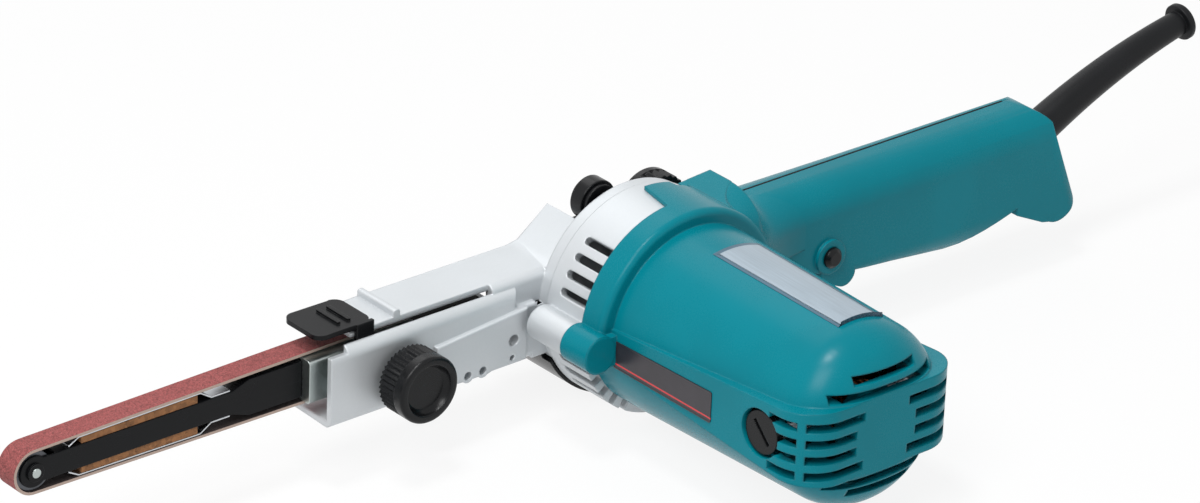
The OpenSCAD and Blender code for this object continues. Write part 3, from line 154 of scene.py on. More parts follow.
class Finish:
    """One material and the fields that its look is made of."""

    def __init__(self, name):
        self.material = bpy.data.materials.new(name)
        self.material.use_nodes = True
        self.tree = self.material.node_tree
        self.shader = self.tree.nodes["Principled BSDF"]
        self.place = self.add("ShaderNodeTexCoord", out="Object")

    def add(self, kind, settings=None, sockets=None, out=0):
        """Adds a node to the material."""
        return add_node(self.tree, kind, settings, sockets, out)

    def noise(self, scale, detail=2.0, stretch=(1, 1, 1)):
        """Soft random field, 0 to 1, with that many waves to a metre."""
        place = self.place
        if stretch != (1, 1, 1):
            place = self.add("ShaderNodeMapping", sockets={"Vector": self.place, "Scale": stretch})
        return self.add("ShaderNodeTexNoise", sockets={"Vector": place, "Scale": scale, "Detail": detail})

    def cells(self, scale, out="Distance"):
        """Field of small cells, with that many to a metre."""
        return self.add("ShaderNodeTexVoronoi", sockets={"Vector": self.place, "Scale": scale}, out=out)

    def ramp(self, field, low, high):
        """Field that climbs from 0 at low to 1 at high."""
        return self.add("ShaderNodeMapRange", sockets={"Value": field, "From Min": low, "From Max": high})

    def mix(self, share, first, second):
        """Colour between two colours."""
        return self.add("ShaderNodeMix", {"data_type": "RGBA"}, {0: share, 6: first, 7: second}, out=2)

    def axis(self, name):
        """One coordinate of the place on the surface, in metres."""
        return self.add("ShaderNodeSeparateXYZ", sockets={0: self.place}, out=name)

    def soft_normal(self, radius):
        """Normal that turns over the edges as a small round would."""
        return self.add("ShaderNodeBevel", {"samples": 6}, {"Radius": radius})

    def edges(self, soft):
        """Mask of the edges, where hands and tools rub."""
        hard = self.add("ShaderNodeNewGeometry", out="Normal")
        facing = self.add("ShaderNodeVectorMath", {"operation": "DOT_PRODUCT"}, {0: soft, 1: hard}, out="Value")
        return self.ramp(1 - facing, 0.02, 0.3)

    def bump(self, height, depth, normal=None):
        """Normal of a relief that deep, in metres."""
        sockets = {"Height": height, "Distance": depth, "Strength": 1.0}
        if normal:
            sockets["Normal"] = normal
        return self.add("ShaderNodeBump", sockets=sockets)

    def wear(self, **sockets):
        """Joins the named sockets of the shader, with underscores for spaces, and gives the material."""
        for name, value in sockets.items():
            join(self.tree, self.shader.inputs[name.replace("_", " ")], value)
        return self.material


def shade(colour, factor):
    """The same colour, darker or lighter."""
    return tuple(min(1.0, value * factor) for value in colour)


def moulded(name, colour, rough, grain=0.000012, round_edge=0.0006, worn=0.25, gloss=0.3):
    """Moulded plastic: a spark-eroded grain, slow cloudy tone and edges rubbed paler."""
    f = Finish(name)
    soft = f.soft_normal(round_edge)
    cloud = f.noise(28, 3)
    fine = f.noise(2400, 2)
    rubbed = f.edges(soft) * f.ramp(f.noise(160, 3), 0.35, 0.7) * worn
    tone = f.mix(f.ramp(cloud, 0.3, 0.7), shade(colour, 0.94), shade(colour, 1.05))
    tone = f.mix(rubbed, tone, tuple(0.75 * v + 0.12 for v in colour))
    return f.wear(Base_Color=tone, Roughness=rough + (cloud - 0.5) * 0.1 + (fine - 0.5) * 0.06,
                  Specular_IOR_Level=gloss, Normal=f.bump(fine, grain, soft))


def cast_paint(name, colour, rough):
    """Silver paint on a casting: a fine orange peel and metal flakes."""
    f = Finish(name)
    soft = f.soft_normal(0.0008)
    peel = f.noise(900, 3)
    flake = f.cells(5200, "Color")
    cloud = f.noise(22, 3)
    tone = f.mix(f.ramp(cloud, 0.3, 0.7), shade(colour, 0.95), shade(colour, 1.03))
    tone = f.mix(f.ramp(flake, 0.2, 1.0) * 0.12, tone, shade(colour, 0.8))
    return f.wear(Base_Color=tone, Metallic=0.6, Roughness=rough + (peel - 0.5) * 0.12,
                  Normal=f.bump(peel, 0.00002, soft))


def plated(name, colour, rough, round_edge=0.0003, spangle=0.1):
    """Plated or bare metal with faint spangle, handling marks and softened edges."""
    f = Finish(name)
    soft = f.soft_normal(round_edge)
    cloud = f.noise(60, 4)
    grain = f.noise(700, 2, stretch=(0.25, 1, 1))
    flake = f.cells(420, "Color")
    tone = f.mix(f.ramp(cloud, 0.3, 0.7), shade(colour, 0.9), shade(colour, 1.06))
    tone = f.mix(f.ramp(flake, 0.2, 0.9) * spangle, tone, shade(colour, 0.72))
    return f.wear(Base_Color=tone, Metallic=1.0, Roughness=rough + (grain - 0.5) * 0.16 + (cloud - 0.5) * 0.1,
                  Normal=f.bump(grain, 0.000006, soft))


def blackened(name, colour, rough):
    """Black painted steel, satin, with fine scratches along its length and bright rubbed edges."""
    f = Finish(name)
    soft = f.soft_normal(0.0003)
    scratch = f.noise(1500, 2, stretch=(0.04, 1, 1))
    cloud = f.noise(50, 3)
    rubbed = f.edges(soft) * f.ramp(f.noise(240, 3), 0.45, 0.75) * 0.4
    tone = f.mix(f.ramp(scratch, 0.62, 0.8) * 0.3, shade(colour, 0.95), shade(colour, 2.4))
    tone = f.mix(rubbed, tone, (0.16, 0.16, 0.165))
    return f.wear(Base_Color=tone, Roughness=rough + (cloud - 0.5) * 0.16, Specular_IOR_Level=0.14,
                  Normal=f.bump(scratch, 0.000004, soft))


def rubbery(name, colour):
    """Soft black rubber, matt with a fine bloom."""
    f = Finish(name)
    soft = f.soft_normal(0.0005)
    fine = f.noise(1800, 3)
    bloom = f.noise(45, 4)
    tone = f.mix(f.ramp(bloom, 0.35, 0.75) * 0.5, colour, shade(colour, 1.9))
    return f.wear(Base_Color=tone, Roughness=0.4 + (bloom - 0.5) * 0.14 + (fine - 0.5) * 0.08,
                  Specular_IOR_Level=0.18, Normal=f.bump(fine, 0.000012, soft))


def gritty(name, colour):
    """Abrasive grain held in resin: packed small cells of uneven tone, rough all over."""
    f = Finish(name)
    grain = f.cells(2300)
    tint = f.cells(2300, "Color")
    clump = f.noise(420, 3)
    worn = f.noise(30, 3, stretch=(0.3, 1, 1))
    tone = f.mix(f.ramp(tint, 0.1, 0.9), shade(colour, 0.6), shade(colour, 1.35))
    tone = f.mix(f.ramp(clump, 0.55, 0.8) * 0.5, tone, shade(colour, 0.45))
    tone = f.mix(f.ramp(worn, 0.5, 0.8) * 0.25, tone, shade(colour, 1.7))
    return f.wear(Base_Color=tone, Roughness=0.82 + (clump - 0.5) * 0.2,
                  Normal=f.bump(1 - grain, 0.00022))


def woven(name, colour):
    """Backing cloth of the belt: crossed threads, stained by the resin."""
    f = Finish(name)
    along = f.add("ShaderNodeTexWave", {"bands_direction": "X"}, {"Vector": f.place, "Scale": 420.0})
    across = f.add("ShaderNodeTexWave", {"bands_direction": "Y"}, {"Vector": f.place, "Scale": 420.0})
    stain = f.noise(140, 3)
    weave = along * across
    tone = f.mix(f.ramp(weave, 0.0, 0.8), shade(colour, 0.65), shade(colour, 1.1))
    tone = f.mix(f.ramp(stain, 0.5, 0.8) * 0.4, tone, shade(colour, 0.5))
    return f.wear(Base_Color=tone, Roughness=0.86 + (stain - 0.5) * 0.1, Normal=f.bump(weave, 0.00006))


def corky(name, colour):
    """Pressed cork: light crumbs with dark bark specks between."""
    f = Finish(name)
    crumb = f.cells(620, "Color")
    gap = f.cells(620)
    speck = f.noise(900, 3)
    tone = f.mix(f.ramp(crumb, 0.1, 0.9), shade(colour, 0.72), shade(colour, 1.25))
    tone = f.mix(f.ramp(speck, 0.62, 0.72) * 0.8, tone, shade(colour, 0.28))
    return f.wear(Base_Color=tone, Roughness=0.88 + (speck - 0.5) * 0.1, Normal=f.bump(1 - gap, 0.00012))


def wound(name, colour):
    """Varnished copper wire laid side by side."""
    f = Finish(name)
    turns = f.add("ShaderNodeTexWave", {"bands_direction": "DIAGONAL"}, {
        "Vector": f.place, "Scale": 260.0, "Distortion": 0.6})
    varnish = f.noise(90, 3)
    tone = f.mix(turns, shade(colour, 0.45), shade(colour, 1.1))
    tone = f.mix(f.ramp(varnish, 0.5, 0.8) * 0.5, tone, shade(colour, 0.4))
    return f.wear(Base_Color=tone, Metallic=0.85, Roughness=0.34 + (varnish - 0.5) * 0.2,
                  Normal=f.bump(turns, 0.00015))


def plate_enamel(name, colour, line_colour):
    """Dark enamel plate with one coloured line along its lower edge and nothing else on it."""
    f = Finish(name)
    soft = f.soft_normal(0.0002)
    line_top, line_wide = DRIVE.z - 4.5 * MM, 0.6 * MM
    height = f.axis("Z") - line_top
    line = (height > -line_wide) * (height < 0.0)
    cloud = f.noise(120, 3)
    tone = f.mix(f.ramp(cloud, 0.3, 0.7), shade(colour, 0.85), shade(colour, 1.15))
    tone = f.mix(line, tone, line_colour)
    return f.wear(Base_Color=tone, Roughness=0.3 + (cloud - 0.5) * 0.12, Normal=soft)


def label_film(name, colour):
    """Bare film, brushed along the barrel."""
    f = Finish(name)
    brushed = f.noise(1800, 2, stretch=(1, 0.03, 1))
    cloud = f.noise(40, 3)
    tone = f.mix(f.ramp(brushed, 0.3, 0.7), shade(colour, 0.9), shade(colour, 1.08))
    tone = f.mix(f.ramp(cloud, 0.4, 0.8) * 0.3, tone, shade(colour, 1.25))
    return f.wear(Base_Color=tone, Metallic=0.35, Roughness=0.36 + (brushed - 0.5) * 0.14,
                  Normal=f.bump(brushed, 0.000003))


# Sizes and colours

def colour_prop(label, text, value):
    """A colour that the user may change."""
    return bpy.props.FloatVectorProperty(name=label, description=text, subtype="COLOR", size=3,
                                         min=0, max=1, default=linear(*value))


def length_prop(label, text, value):
    """A length in metres that the user may change, given here in millimetres."""
    return bpy.props.FloatProperty(name=label, description=text, subtype="DISTANCE", unit="LENGTH",
                                   default=value * MM)


def angle_prop(label, text, value):
    """An angle that the user may change, given here in degrees."""
    return bpy.props.FloatProperty(name=label, description=text, subtype="ANGLE", default=math.radians(value))


class SANDER_PG_colours(bpy.types.PropertyGroup):
    """Colours of the finishes."""

    teal: colour_prop("Housing", "Moulded housing and handle", (3, 122, 136))
    silver: colour_prop("Castings", "Painted castings", (203, 207, 210))
    black: colour_prop("Knobs", "Black moulded plastic", (15, 16, 18))
    iron: colour_prop("Black steel", "Painted arm and thumb plate", (16, 17, 19))
    zinc: colour_prop("Plated steel", "Plated screws and slide", (186, 194, 192))
    steel: colour_prop("Bare steel", "Turned and ground steel", (176, 178, 182))
    dark: colour_prop("Dark steel", "Roller at the nose", (92, 94, 98))
    spring: colour_prop("Spring steel", "Coil springs", (128, 132, 138))
    leaf: colour_prop("Leaf springs", "Bright leaves behind the belt", (206, 209, 213))
    copper: colour_prop("Copper", "Windings and commutator", (196, 118, 72))
    carbon: colour_prop("Carbon", "Motor brushes", (44, 43, 42))
    rubber: colour_prop("Rubber", "Cord guard and bearing sleeve", (17, 18, 20))
    grit: colour_prop("Abrasive", "Grain side of the belt", (146, 76, 75))
    cloth: colour_prop("Backing", "Cloth side of the belt", (52, 42, 41))
    edge: colour_prop("Belt edge", "Cut edge of the belt", (214, 190, 176))
    cork: colour_prop("Cork", "Pads behind the belt", (140, 96, 60))
    plate: colour_prop("Side plate", "Bare plate on the barrel's side", (46, 42, 48))
    line: colour_prop("Plate line", "Line along the side plate", (206, 52, 56))
    film: colour_prop("Label film", "Bare label on the barrel's top", (158, 172, 183))
    film_rim: colour_prop("Label border", "Border of the label", (70, 100, 118))
    floor: colour_prop("Floor", "Studio floor", (240, 240, 240))


class SANDER_PG_sizes(bpy.types.PropertyGroup):
    """Sizes of the dressed pieces and of the view."""

    edge_round: length_prop("Edge round", "Width of the rounded edges", 0.35)
    seam_round: length_prop("Seam round", "Round of the handle halves along their seam", 0.4)
    belt_w: length_prop("Belt width", "Width of the abrasive belt", 9)
    belt_t: length_prop("Belt thickness", "Thickness of the abrasive belt", 1)
    nose_in: length_prop("Nose radius", "Radius of the belt's inner face at the roller", 7)
    drive_in: length_prop("Drive radius", "Radius of the belt's inner face at the pulley", 10.05)
    guard_root_r: length_prop("Guard root", "Radius of the cord guard at the handle", 6.8)
    guard_tip_r: length_prop("Guard tip", "Radius of the cord guard before its rim", 4.6)
    guard_rim_r: length_prop("Guard rim", "Radius of the rim at the guard's end", 6.9)
    guard_bore_r: length_prop("Guard bore", "Radius of the hole for the cord", 3.6)
    guard_chord: length_prop("Guard chord", "Straight distance from the handle to the guard's end", 81.75)
    guard_rise: length_prop("Guard bow", "Height of the guard's bow over its chord", 3.2)
    guard_tilt: angle_prop("Guard tilt", "Slope of the guard's chord", 19.5)
    plate_t: length_prop("Plate thickness", "Thickness of the side plate", 0.35)
    film_t: length_prop("Film thickness", "Thickness of the label film", 0.12)
    film_border: length_prop("Film border", "Width of the label's border", 1.6)
    film_from: angle_prop("Film start", "Turn of the label's near edge about the barrel", -11.5)
    film_to: angle_prop("Film end", "Turn of the label's far edge about the barrel", 24)
    view_az: angle_prop("View turn", "Turn of the camera about the tool", -41.14)
    view_el: angle_prop("View height", "Height of the camera over the tool", 26.602)
    view_roll: angle_prop("View roll", "Roll of the camera", 2.299)
    view_far: length_prop("View distance", "Distance of the camera", 2000)


# Helpers for shaping

WELD, SLIVER, TOUCH = 2e-6, 5e-6, 1e-6
FLAT_ANGLE, SHARP_ANGLE = math.radians(0.05), math.radians(50)
LONG_LEN, FAIR_AREA = 6 * MM, 8 * MM ** 2


def only(piece):
    """Selects one piece alone and makes it active."""
    bpy.ops.object.select_all(action="DESELECT")
    piece.hide_set(False)
    piece.select_set(True)
    bpy.context.view_layer.objects.active = piece


@contextmanager
def shaping(piece):
    """Edit mode on one piece, with all of it selected at the start."""
    only(piece)
    bpy.ops.object.mode_set(mode="EDIT")
    bpy.ops.mesh.select_mode(type="VERT")
    bpy.ops.mesh.select_all(action="SELECT")
    yield piece
    bpy.ops.object.mode_set(mode="OBJECT")


def pick(piece, kind, test):
    """Selects the vertices, edges or faces that pass the test, and nothing else."""
    bpy.ops.mesh.select_all(action="DESELECT")
    bpy.ops.mesh.select_mode(type={"verts": "VERT", "edges": "EDGE", "faces": "FACE"}[kind])
    mesh = bmesh.from_edit_mesh(piece.data)
    for element in getattr(mesh, kind):
        element.select = bool(test(element))
    mesh.select_flush_mode()
    bmesh.update_edit_mesh(piece.data)


def modify(piece, kind, **settings):
    """Adds a modifier, sets it and applies it."""
    only(piece)
    modifier = piece.modifiers.new(kind.title(), kind)
    for name, value in settings.items():
        setattr(modifier, name, value)
    bpy.ops.object.modifier_apply(modifier=modifier.name)


def smooth(piece, degrees=35):
    """Smooth shading that keeps the hard edges, weighted by the size of the faces."""
    only(piece)
    bpy.ops.object.shade_smooth_by_angle(angle=math.radians(degrees))
    modify(piece, "WEIGHTED_NORMAL", keep_sharp=True, weight=80)


def named(piece, name):
    """Gives a new piece and its mesh one name."""
    piece.name = name
    piece.data.name = name
    return piece


def baked(name, scale=(1, 1, 1)):
    """Names the new primitive and takes its place, turn and scale into its mesh."""
    piece = named(bpy.context.active_object, name)
    piece.scale = scale
    bpy.ops.object.transform_apply(location=True, rotation=True, scale=True)
    return piece


def turn_outwards():
    """Selects all of the piece in edit mode and turns its faces outwards."""
    bpy.ops.mesh.select_all(action="SELECT")
    bpy.ops.mesh.normals_make_consistent(inside=False)


def draw_faces(*move):
    """Draws the selected faces out by a move in metres."""
    bpy.ops.mesh.extrude_region_move(TRANSFORM_OT_translate={"value": move})


def draw_edges(*move):
    """Draws the selected edges out into new faces by a move in metres."""
    bpy.ops.mesh.extrude_edges_move(TRANSFORM_OT_translate={"value": move})


def settle(piece, home, slot, looks, *nodes):
    """Puts the looks on a piece, lets it ride with the solid it belongs to and stand for its solids."""
    piece.data.materials.clear()
    for look in looks:
        piece.data.materials.append(finish_of(look))
    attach(piece, BODY_OF[home])
    if nodes:
        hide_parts(*nodes)
    return piece


def round_edges(piece, test, width, segments):
    """Rounds the edges of a piece that pass the test."""
    with shaping(piece):
        pick(piece, "edges", test)
        bpy.ops.mesh.bevel(offset=width, segments=segments, affect="EDGES", clamp_overlap=False)
        bpy.ops.mesh.select_all(action="SELECT")
        bpy.ops.mesh.dissolve_degenerate(threshold=TOUCH)


def long_edge(edge):
    """True for an outer edge of some length between two fair-sized faces."""
    if len(edge.link_faces) != 2 or not edge.is_convex or edge.calc_length() < LONG_LEN:
        return False
    return edge.calc_face_angle() > SHARP_ANGLE and min(f.calc_area() for f in edge.link_faces) > FAIR_AREA


def merged_copy(node, name):
    """A new piece with a copy of a solid's mesh, its faces joined at their edges."""
    piece = bpy.data.objects.new(name, frame["nodes"][node].data.copy())
    bpy.context.scene.collection.objects.link(piece)
    named(piece, name)
    with shaping(piece):
        bpy.ops.mesh.remove_doubles(threshold=WELD)
        bpy.ops.mesh.customdata_custom_splitnormals_clear()
        bpy.ops.mesh.dissolve_limited(angle_limit=FLAT_ANGLE)
        bpy.ops.mesh.select_all(action="SELECT")
        bpy.ops.mesh.dissolve_degenerate(threshold=SLIVER)
    return piece


def cut_away(piece, place, way):
    """Cuts off what lies beyond a plane and closes the cut."""
    with shaping(piece):
        bpy.ops.mesh.bisect(plane_co=place, plane_no=way, use_fill=True, clear_outer=True, threshold=TOUCH)


def dress(node, look, bevel=0.0, long_round=0.0):
    """Copies a solid's mesh into a new piece, rounds its edges and stands it for the solid."""
    piece = merged_copy(node, node + "_dressed")
    if long_round:
        round_edges(piece, long_edge, long_round * MM, 3)
    if bevel:
        modify(piece, "BEVEL", width=bevel, segments=2, limit_method="ANGLE",
               angle_limit=SHARP_ANGLE, use_clamp_overlap=True)
    smooth(piece)
    return settle(piece, node, SLOT_OF.get(look, look), [look], node)


FINISHES = {}
SLOT_OF = {"shadow": "black_plastic", "leaf": "spring_steel", "dark_steel": "bare_steel"}


def finish_of(name):
    """The material of one look, made when it is first asked for."""
    if name not in FINISHES:
        c = bpy.context.scene.sander_colours
        FINISHES[name] = {
            "teal_plastic": lambda: moulded("moulded_teal", tuple(c.teal), 0.27, round_edge=0.0009, gloss=0.12),
            "silver_paint": lambda: cast_paint("cast_silver", tuple(c.silver), 0.52),
            "black_plastic": lambda: moulded("moulded_black", tuple(c.black), 0.26, worn=0.08, gloss=0.22),
            # Painted shade: the black darkened for the inner parts behind the vents, standing for the shade inside
            # the housing.
            "shadow": lambda: moulded("inner_black", shade(tuple(c.black), 0.6), 0.6, worn=0.05, gloss=0.1),
            "black_steel": lambda: blackened("painted_steel", tuple(c.iron), 0.28),
            "zinc_steel": lambda: plated("zinc_plate", tuple(c.zinc), 0.36, spangle=0.2),
            "bare_steel": lambda: plated("turned_steel", tuple(c.steel), 0.28),
            "spring_steel": lambda: plated("spring_steel", tuple(c.spring), 0.32),
            "dark_steel": lambda: plated("dark_steel", tuple(c.dark), 0.36),
            "leaf": lambda: plated("bright_leaf", tuple(c.leaf), 0.3),
            "copper": lambda: wound("copper_wire", tuple(c.copper)),
            "carbon": lambda: moulded("pressed_carbon", tuple(c.carbon), 0.6),
            "rubber": lambda: rubbery("black_rubber", tuple(c.rubber)),
            "abrasive": lambda: gritty("abrasive_grain", tuple(c.grit)),
            "cloth": lambda: woven("belt_cloth", tuple(c.cloth)),
            "edge": lambda: woven("belt_edge", tuple(c.edge)),
            "cork": lambda: corky("pressed_cork", tuple(c.cork)),
            "plate": lambda: plate_enamel("side_plate_enamel", tuple(c.plate), tuple(c.line)),
            "film": lambda: label_film("label_film", tuple(c.film)),
            "film_rim": lambda: label_film("label_border", tuple(c.film_rim)),
        }[name]()
    return FINISHES[name]


class Maker:
    """What all the operators share."""

    bl_options = {"REGISTER", "UNDO"}


class SolidDresser(Maker):
    """Dresses a group of solids: rows of node, look and share of the edge round."""

    rows = ()
    long_rounds = {}

    def execute(self, context):
        edge = context.scene.sander_sizes.edge_round
        for node, look, share in self.rows:
            dress(node, look, edge * share, self.long_rounds.get(node, 0.0))
        return {"FINISHED"}


class SANDER_OT_housing(Maker, bpy.types.Operator):
    """Dresses the moulded motor housing and the far half of the handle, with a groove along their seam and a black
    strip of painted shade down in it
    """

    bl_idname = "sander.housing"
    bl_label = "Housing"

    # Places and lengths in millimetres from the drive axis
    seam_w, top_z, seam_near, seam_front_x = 20, 24, 0.02, 44
    belly_x, belly_len, belly_deep, belly_top, belly_run = 134, 25, 4, 2, 8
    slope_top_x, slope_low_x, slope_low_z, slope_back = 171.5, 181.85, 15.6, 2.8
    slope_way, slope_near = (0.630, 0.776), 0.05
    tilted, upright = (0.744, 0.669), (0.921, 0.389)
    top_round, rear_round, cuts = 14, 28, 5
    fall_r, fall_slope, fall_from, fall_x, fall_lead, fall_low, fall_run = 7, 0.7, 4.9, 46, 14, 6, 18
    line_mid_x, line_z, line_len, line_wide, line_high = 107, 23.7, 122, 0.9, 0.31

    def execute(self, context):
        s = context.scene.sander_sizes
        seam, top = at(0, self.seam_w, 0).y, at(0, 0, self.top_z - 0.1).z
        front = at(self.seam_front_x, 0, 0).x

        def on_seam(edge):
            """Top edges where the two halves of the handle meet."""
            return all(abs(v.co.y - seam) < self.seam_near * MM and v.co.z > top and v.co.x > front
                       for v in edge.verts)

        for node in ("motor_housing", "handle_cover"):
            piece = merged_copy(node, node + "_dressed")
            self.swell(piece, node == "handle_cover")
            self.round_corner(piece, (self.slope_top_x + self.slope_back, self.top_z), (0, 1), self.tilted,
                              self.top_round)
            self.round_corner(piece, (self.slope_low_x, self.slope_low_z), self.tilted, self.upright,
                              self.rear_round)
            round_edges(piece, on_seam, s.seam_round, 3)
            smooth(piece)
            settle(piece, node, "teal_plastic", ["teal_plastic"], node)
        # Painted shade: a thin black strip down in the seam's groove.
        self.seam_line()
        return {"FINISHED"}

    def swell(self, piece, far_half):
        """Lets the grip's belly out, draws the top of its rear slope back and lets the far half fall away."""
        slope_high = self.top_z - self.slope_low_z
        with shaping(piece):
            mesh = bmesh.from_edit_mesh(piece.data)
            for v in mesh.verts:
                spot = (v.co - DRIVE) / MM
                share = min(1.0, max(0.0, (-spot.z - self.belly_top) / self.belly_run))
                bow = math.exp(-((spot.x - self.belly_x) / self.belly_len) ** 2)
                v.co.z -= self.belly_deep * MM * share * bow
                off_slope = (self.slope_way[0] * (spot.x - self.slope_top_x)
                             + self.slope_way[1] * (spot.z - self.top_z))
                if spot.z > self.slope_low_z and abs(off_slope) < self.slope_near:
                    v.co.x += self.slope_back * MM * (spot.z - self.slope_low_z) / slope_high
                if far_half and spot.x > self.fall_x:
                    v.co.z -= self.fall(spot) * MM
            bmesh.update_edit_mesh(piece.data)

    def fall(self, spot):
        """How far a point of the far half drops: a round next to the seam, then a straight slope."""
        behind = max(0.0, self.seam_w + spot.y)
        drop = behind ** 2 / (2 * self.fall_r)
        if behind > self.fall_from:
            drop = self.fall_slope * (behind - self.fall_from / 2)
        lead = min(1.0, (spot.x - self.fall_x) / self.fall_lead)
        return drop * lead * min(1.0, max(0.0, (spot.z + self.fall_low) / self.fall_run))

    def seam_line(self):
        """Models a black strip of painted shade down in the groove between the halves of the handle, where its
        shadow falls.
        """
        bpy.ops.mesh.primitive_plane_add(size=1, location=at(self.line_mid_x, self.seam_w, self.line_z))
        piece = baked("seam_line", (self.line_len * MM, self.line_wide * MM, 1))
        with shaping(piece):
            draw_faces(0, 0, self.line_high * MM)
            turn_outwards()
        settle(piece, "motor_housing", "black_plastic", ["shadow"])

    def round_corner(self, piece, corner, first, last, radius):
        """Takes an upper rear corner of the handle off in small flats that follow a round."""
        first, last = Vector(first), Vector(last)
        centre = Vector(corner) - (first + last) * radius / (1 + first.dot(last))
        for i in range(1, self.cuts):
            way = first.lerp(last, i / self.cuts).normalized()
            touch = centre + way * radius
            cut_away(piece, at(touch.x, 0, touch.y), (way.x, 0, way.y))


class SANDER_OT_root(Maker, bpy.types.Operator):
    """Models the saddle from the collar to the handle: a quarter round drawn on from station to station"""

    bl_idname = "sander.root"
    bl_label = "Handle Root"

    # Places and lengths in millimetres from the drive axis
    front_x, peak_x, rear_x, pitch = 18.0, 33.3, 66.0, 1.5
    grip_near, root_more, wide_front, wide_less = 35.85, 8.75, 16.6, 4.6
    fall_front, fall_more, fall_less, top_front, top_more = 2, 10.6, 0.6, 33.2, 1.1
    hollow_x, hollow_z, hollow_r, grip_top, blend, sink = 48.56, 39.1, 16, 23.8, 0.8, 0.03
    wall, lip_deep, skirt_z, near_by = 1.2, 0.3, 3, 0.01

    def section(self, x):
        """Near side, width, top and fall of the quarter round at x, in millimetres."""
        lead = min(1.0, (x - self.front_x) / (self.peak_x - self.front_x))
        share = max(0.0, (x - self.peak_x) / (self.rear_x - self.peak_x))
        near = self.grip_near + self.root_more * (1 - share) ** 2
        wide = self.wide_front - self.wide_less * share
        fall = self.fall_front + self.fall_more * lead - self.fall_less * share
        if x <= self.peak_x:
            return near, wide, self.top_front + self.top_more * lead, fall
        hollow = self.hollow_z - math.sqrt(self.hollow_r ** 2 - min(0.0, x - self.hollow_x) ** 2)
        top = (hollow + self.grip_top + math.hypot(hollow - self.grip_top, self.blend)) / 2 - self.sink
        return near, wide, top, fall

    def execute(self, context):
        near, wide, top, fall = self.section(self.front_x)
        centre = at(self.front_x, near - wide, top - fall)
        bpy.ops.mesh.primitive_circle_add(vertices=48, radius=MM, location=centre, rotation=(0, math.pi / 2, 0))
        piece = baked("handle_root")
        count = round((self.rear_x - self.front_x) / self.pitch)
        with shaping(piece):
            pick(piece, "verts", lambda v: v.co.y > centre.y + TOUCH or v.co.z < centre.z - TOUCH)
            bpy.ops.mesh.delete(type="VERT")
            bpy.ops.mesh.select_all(action="SELECT")
            bpy.ops.transform.resize(value=(1, wide, fall), center_override=centre)
            for i in range(1, count + 1):
                x = self.front_x + self.pitch * i
                near, next_wide, top, next_fall = self.section(x)
                place = at(x, near - next_wide, top - next_fall)
                draw_edges(*(place - centre))
                bpy.ops.transform.resize(value=(1, next_wide / wide, next_fall / fall), center_override=place)
                centre, wide, fall = place, next_wide, next_fall
            self.lip(piece)
            self.skirt(piece)
            turn_outwards()
            if sum(face.normal.z for face in bmesh.from_edit_mesh(piece.data).faces) < 0:
                bpy.ops.mesh.flip_normals()
        modify(piece, "SOLIDIFY", thickness=self.wall * MM, offset=-1)
        smooth(piece, 40)
        settle(piece, "motor_housing", "teal_plastic", ["teal_plastic"])
        return {"FINISHED"}

    def border(self, piece, side, from_x):
        """Picks the long free edges on the far (0) or near (1) side from one station on."""
        def test(edge):
            if not edge.is_boundary:
                return False
            for v in edge.verts:
                spot = (v.co - DRIVE) / MM
                near, wide, _, _ = self.section(spot.x)
                off = abs(-spot.y - (near - wide * (1 - side)))
                if off > self.near_by or spot.x < from_x - self.near_by:
                    return False
            return True
        pick(piece, "edges", test)

    def lip(self, piece):
        """Turns the far edge down under the flap's top."""
        self.border(piece, 0, self.front_x)
        draw_edges(0, MM, -self.lip_deep * MM)

    def skirt(self, piece):
        """Carries the near edge down to one level behind the barrel."""
        self.border(piece, 1, self.peak_x - self.pitch)
        draw_edges(0, 0, -MM)
        bpy.ops.transform.resize(value=(1, 1, 0), center_override=at(0, 0, self.skirt_z))


class SANDER_OT_lug_end(Maker, bpy.types.Operator):
    """Models the closed end of the screw lug"""

    bl_idname = "sander.lug_end"
    bl_label = "Lug End"

    lug_x, lug_w, lug_r, thick, rim_round = -41.4, 49.8, 6.78, 0.8, 0.6

    def execute(self, context):
        bpy.ops.mesh.primitive_cylinder_add(vertices=64, radius=self.lug_r * MM, depth=self.thick * MM,
                                            location=at(self.lug_x, self.lug_w, 0), rotation=(math.pi / 2, 0, 0))
        piece = baked("lug_end")
        rear = at(0, self.lug_w, 0).y
        round_edges(piece, lambda e: all(v.co.y < rear for v in e.verts), self.rim_round * MM, 4)
        smooth(piece, 40)
        settle(piece, "motor_housing", "teal_plastic", ["teal_plastic"])
        return {"FINISHED"}


class SANDER_OT_castings(SolidDresser, bpy.types.Operator):
    """Dresses the gear ring, the arm holder and the cover over the pulley"""

    bl_idname = "sander.castings"
    bl_label = "Castings"
    rows = (("gear_housing", "silver_paint", 0), ("belt_cover", "black_plastic", 0))
    long_rounds = {"gear_housing": 0.6, "belt_cover": 0.5}
    wall_w, shoulder_z, wall_near, shoulder_round, edge_round = 15, 8, 0.1, 2.4, 0.8

    def execute(self, context):
        piece = merged_copy("arm_holder", "arm_holder_dressed")
        wall, low = at(0, self.wall_w, 0).y, at(0, 0, self.shoulder_z).z

        def shoulder(edge):
            """Upper edge of the near wall along the slot."""
            return long_edge(edge) and all(abs(v.co.y - wall) < self.wall_near * MM and v.co.z > low
                                           for v in edge.verts)

        round_edges(piece, shoulder, self.shoulder_round * MM, 6)
        round_edges(piece, long_edge, self.edge_round * MM, 3)
        smooth(piece)
        settle(piece, "arm_holder", "silver_paint", ["silver_paint"], "arm_holder")
        return super().execute(context)


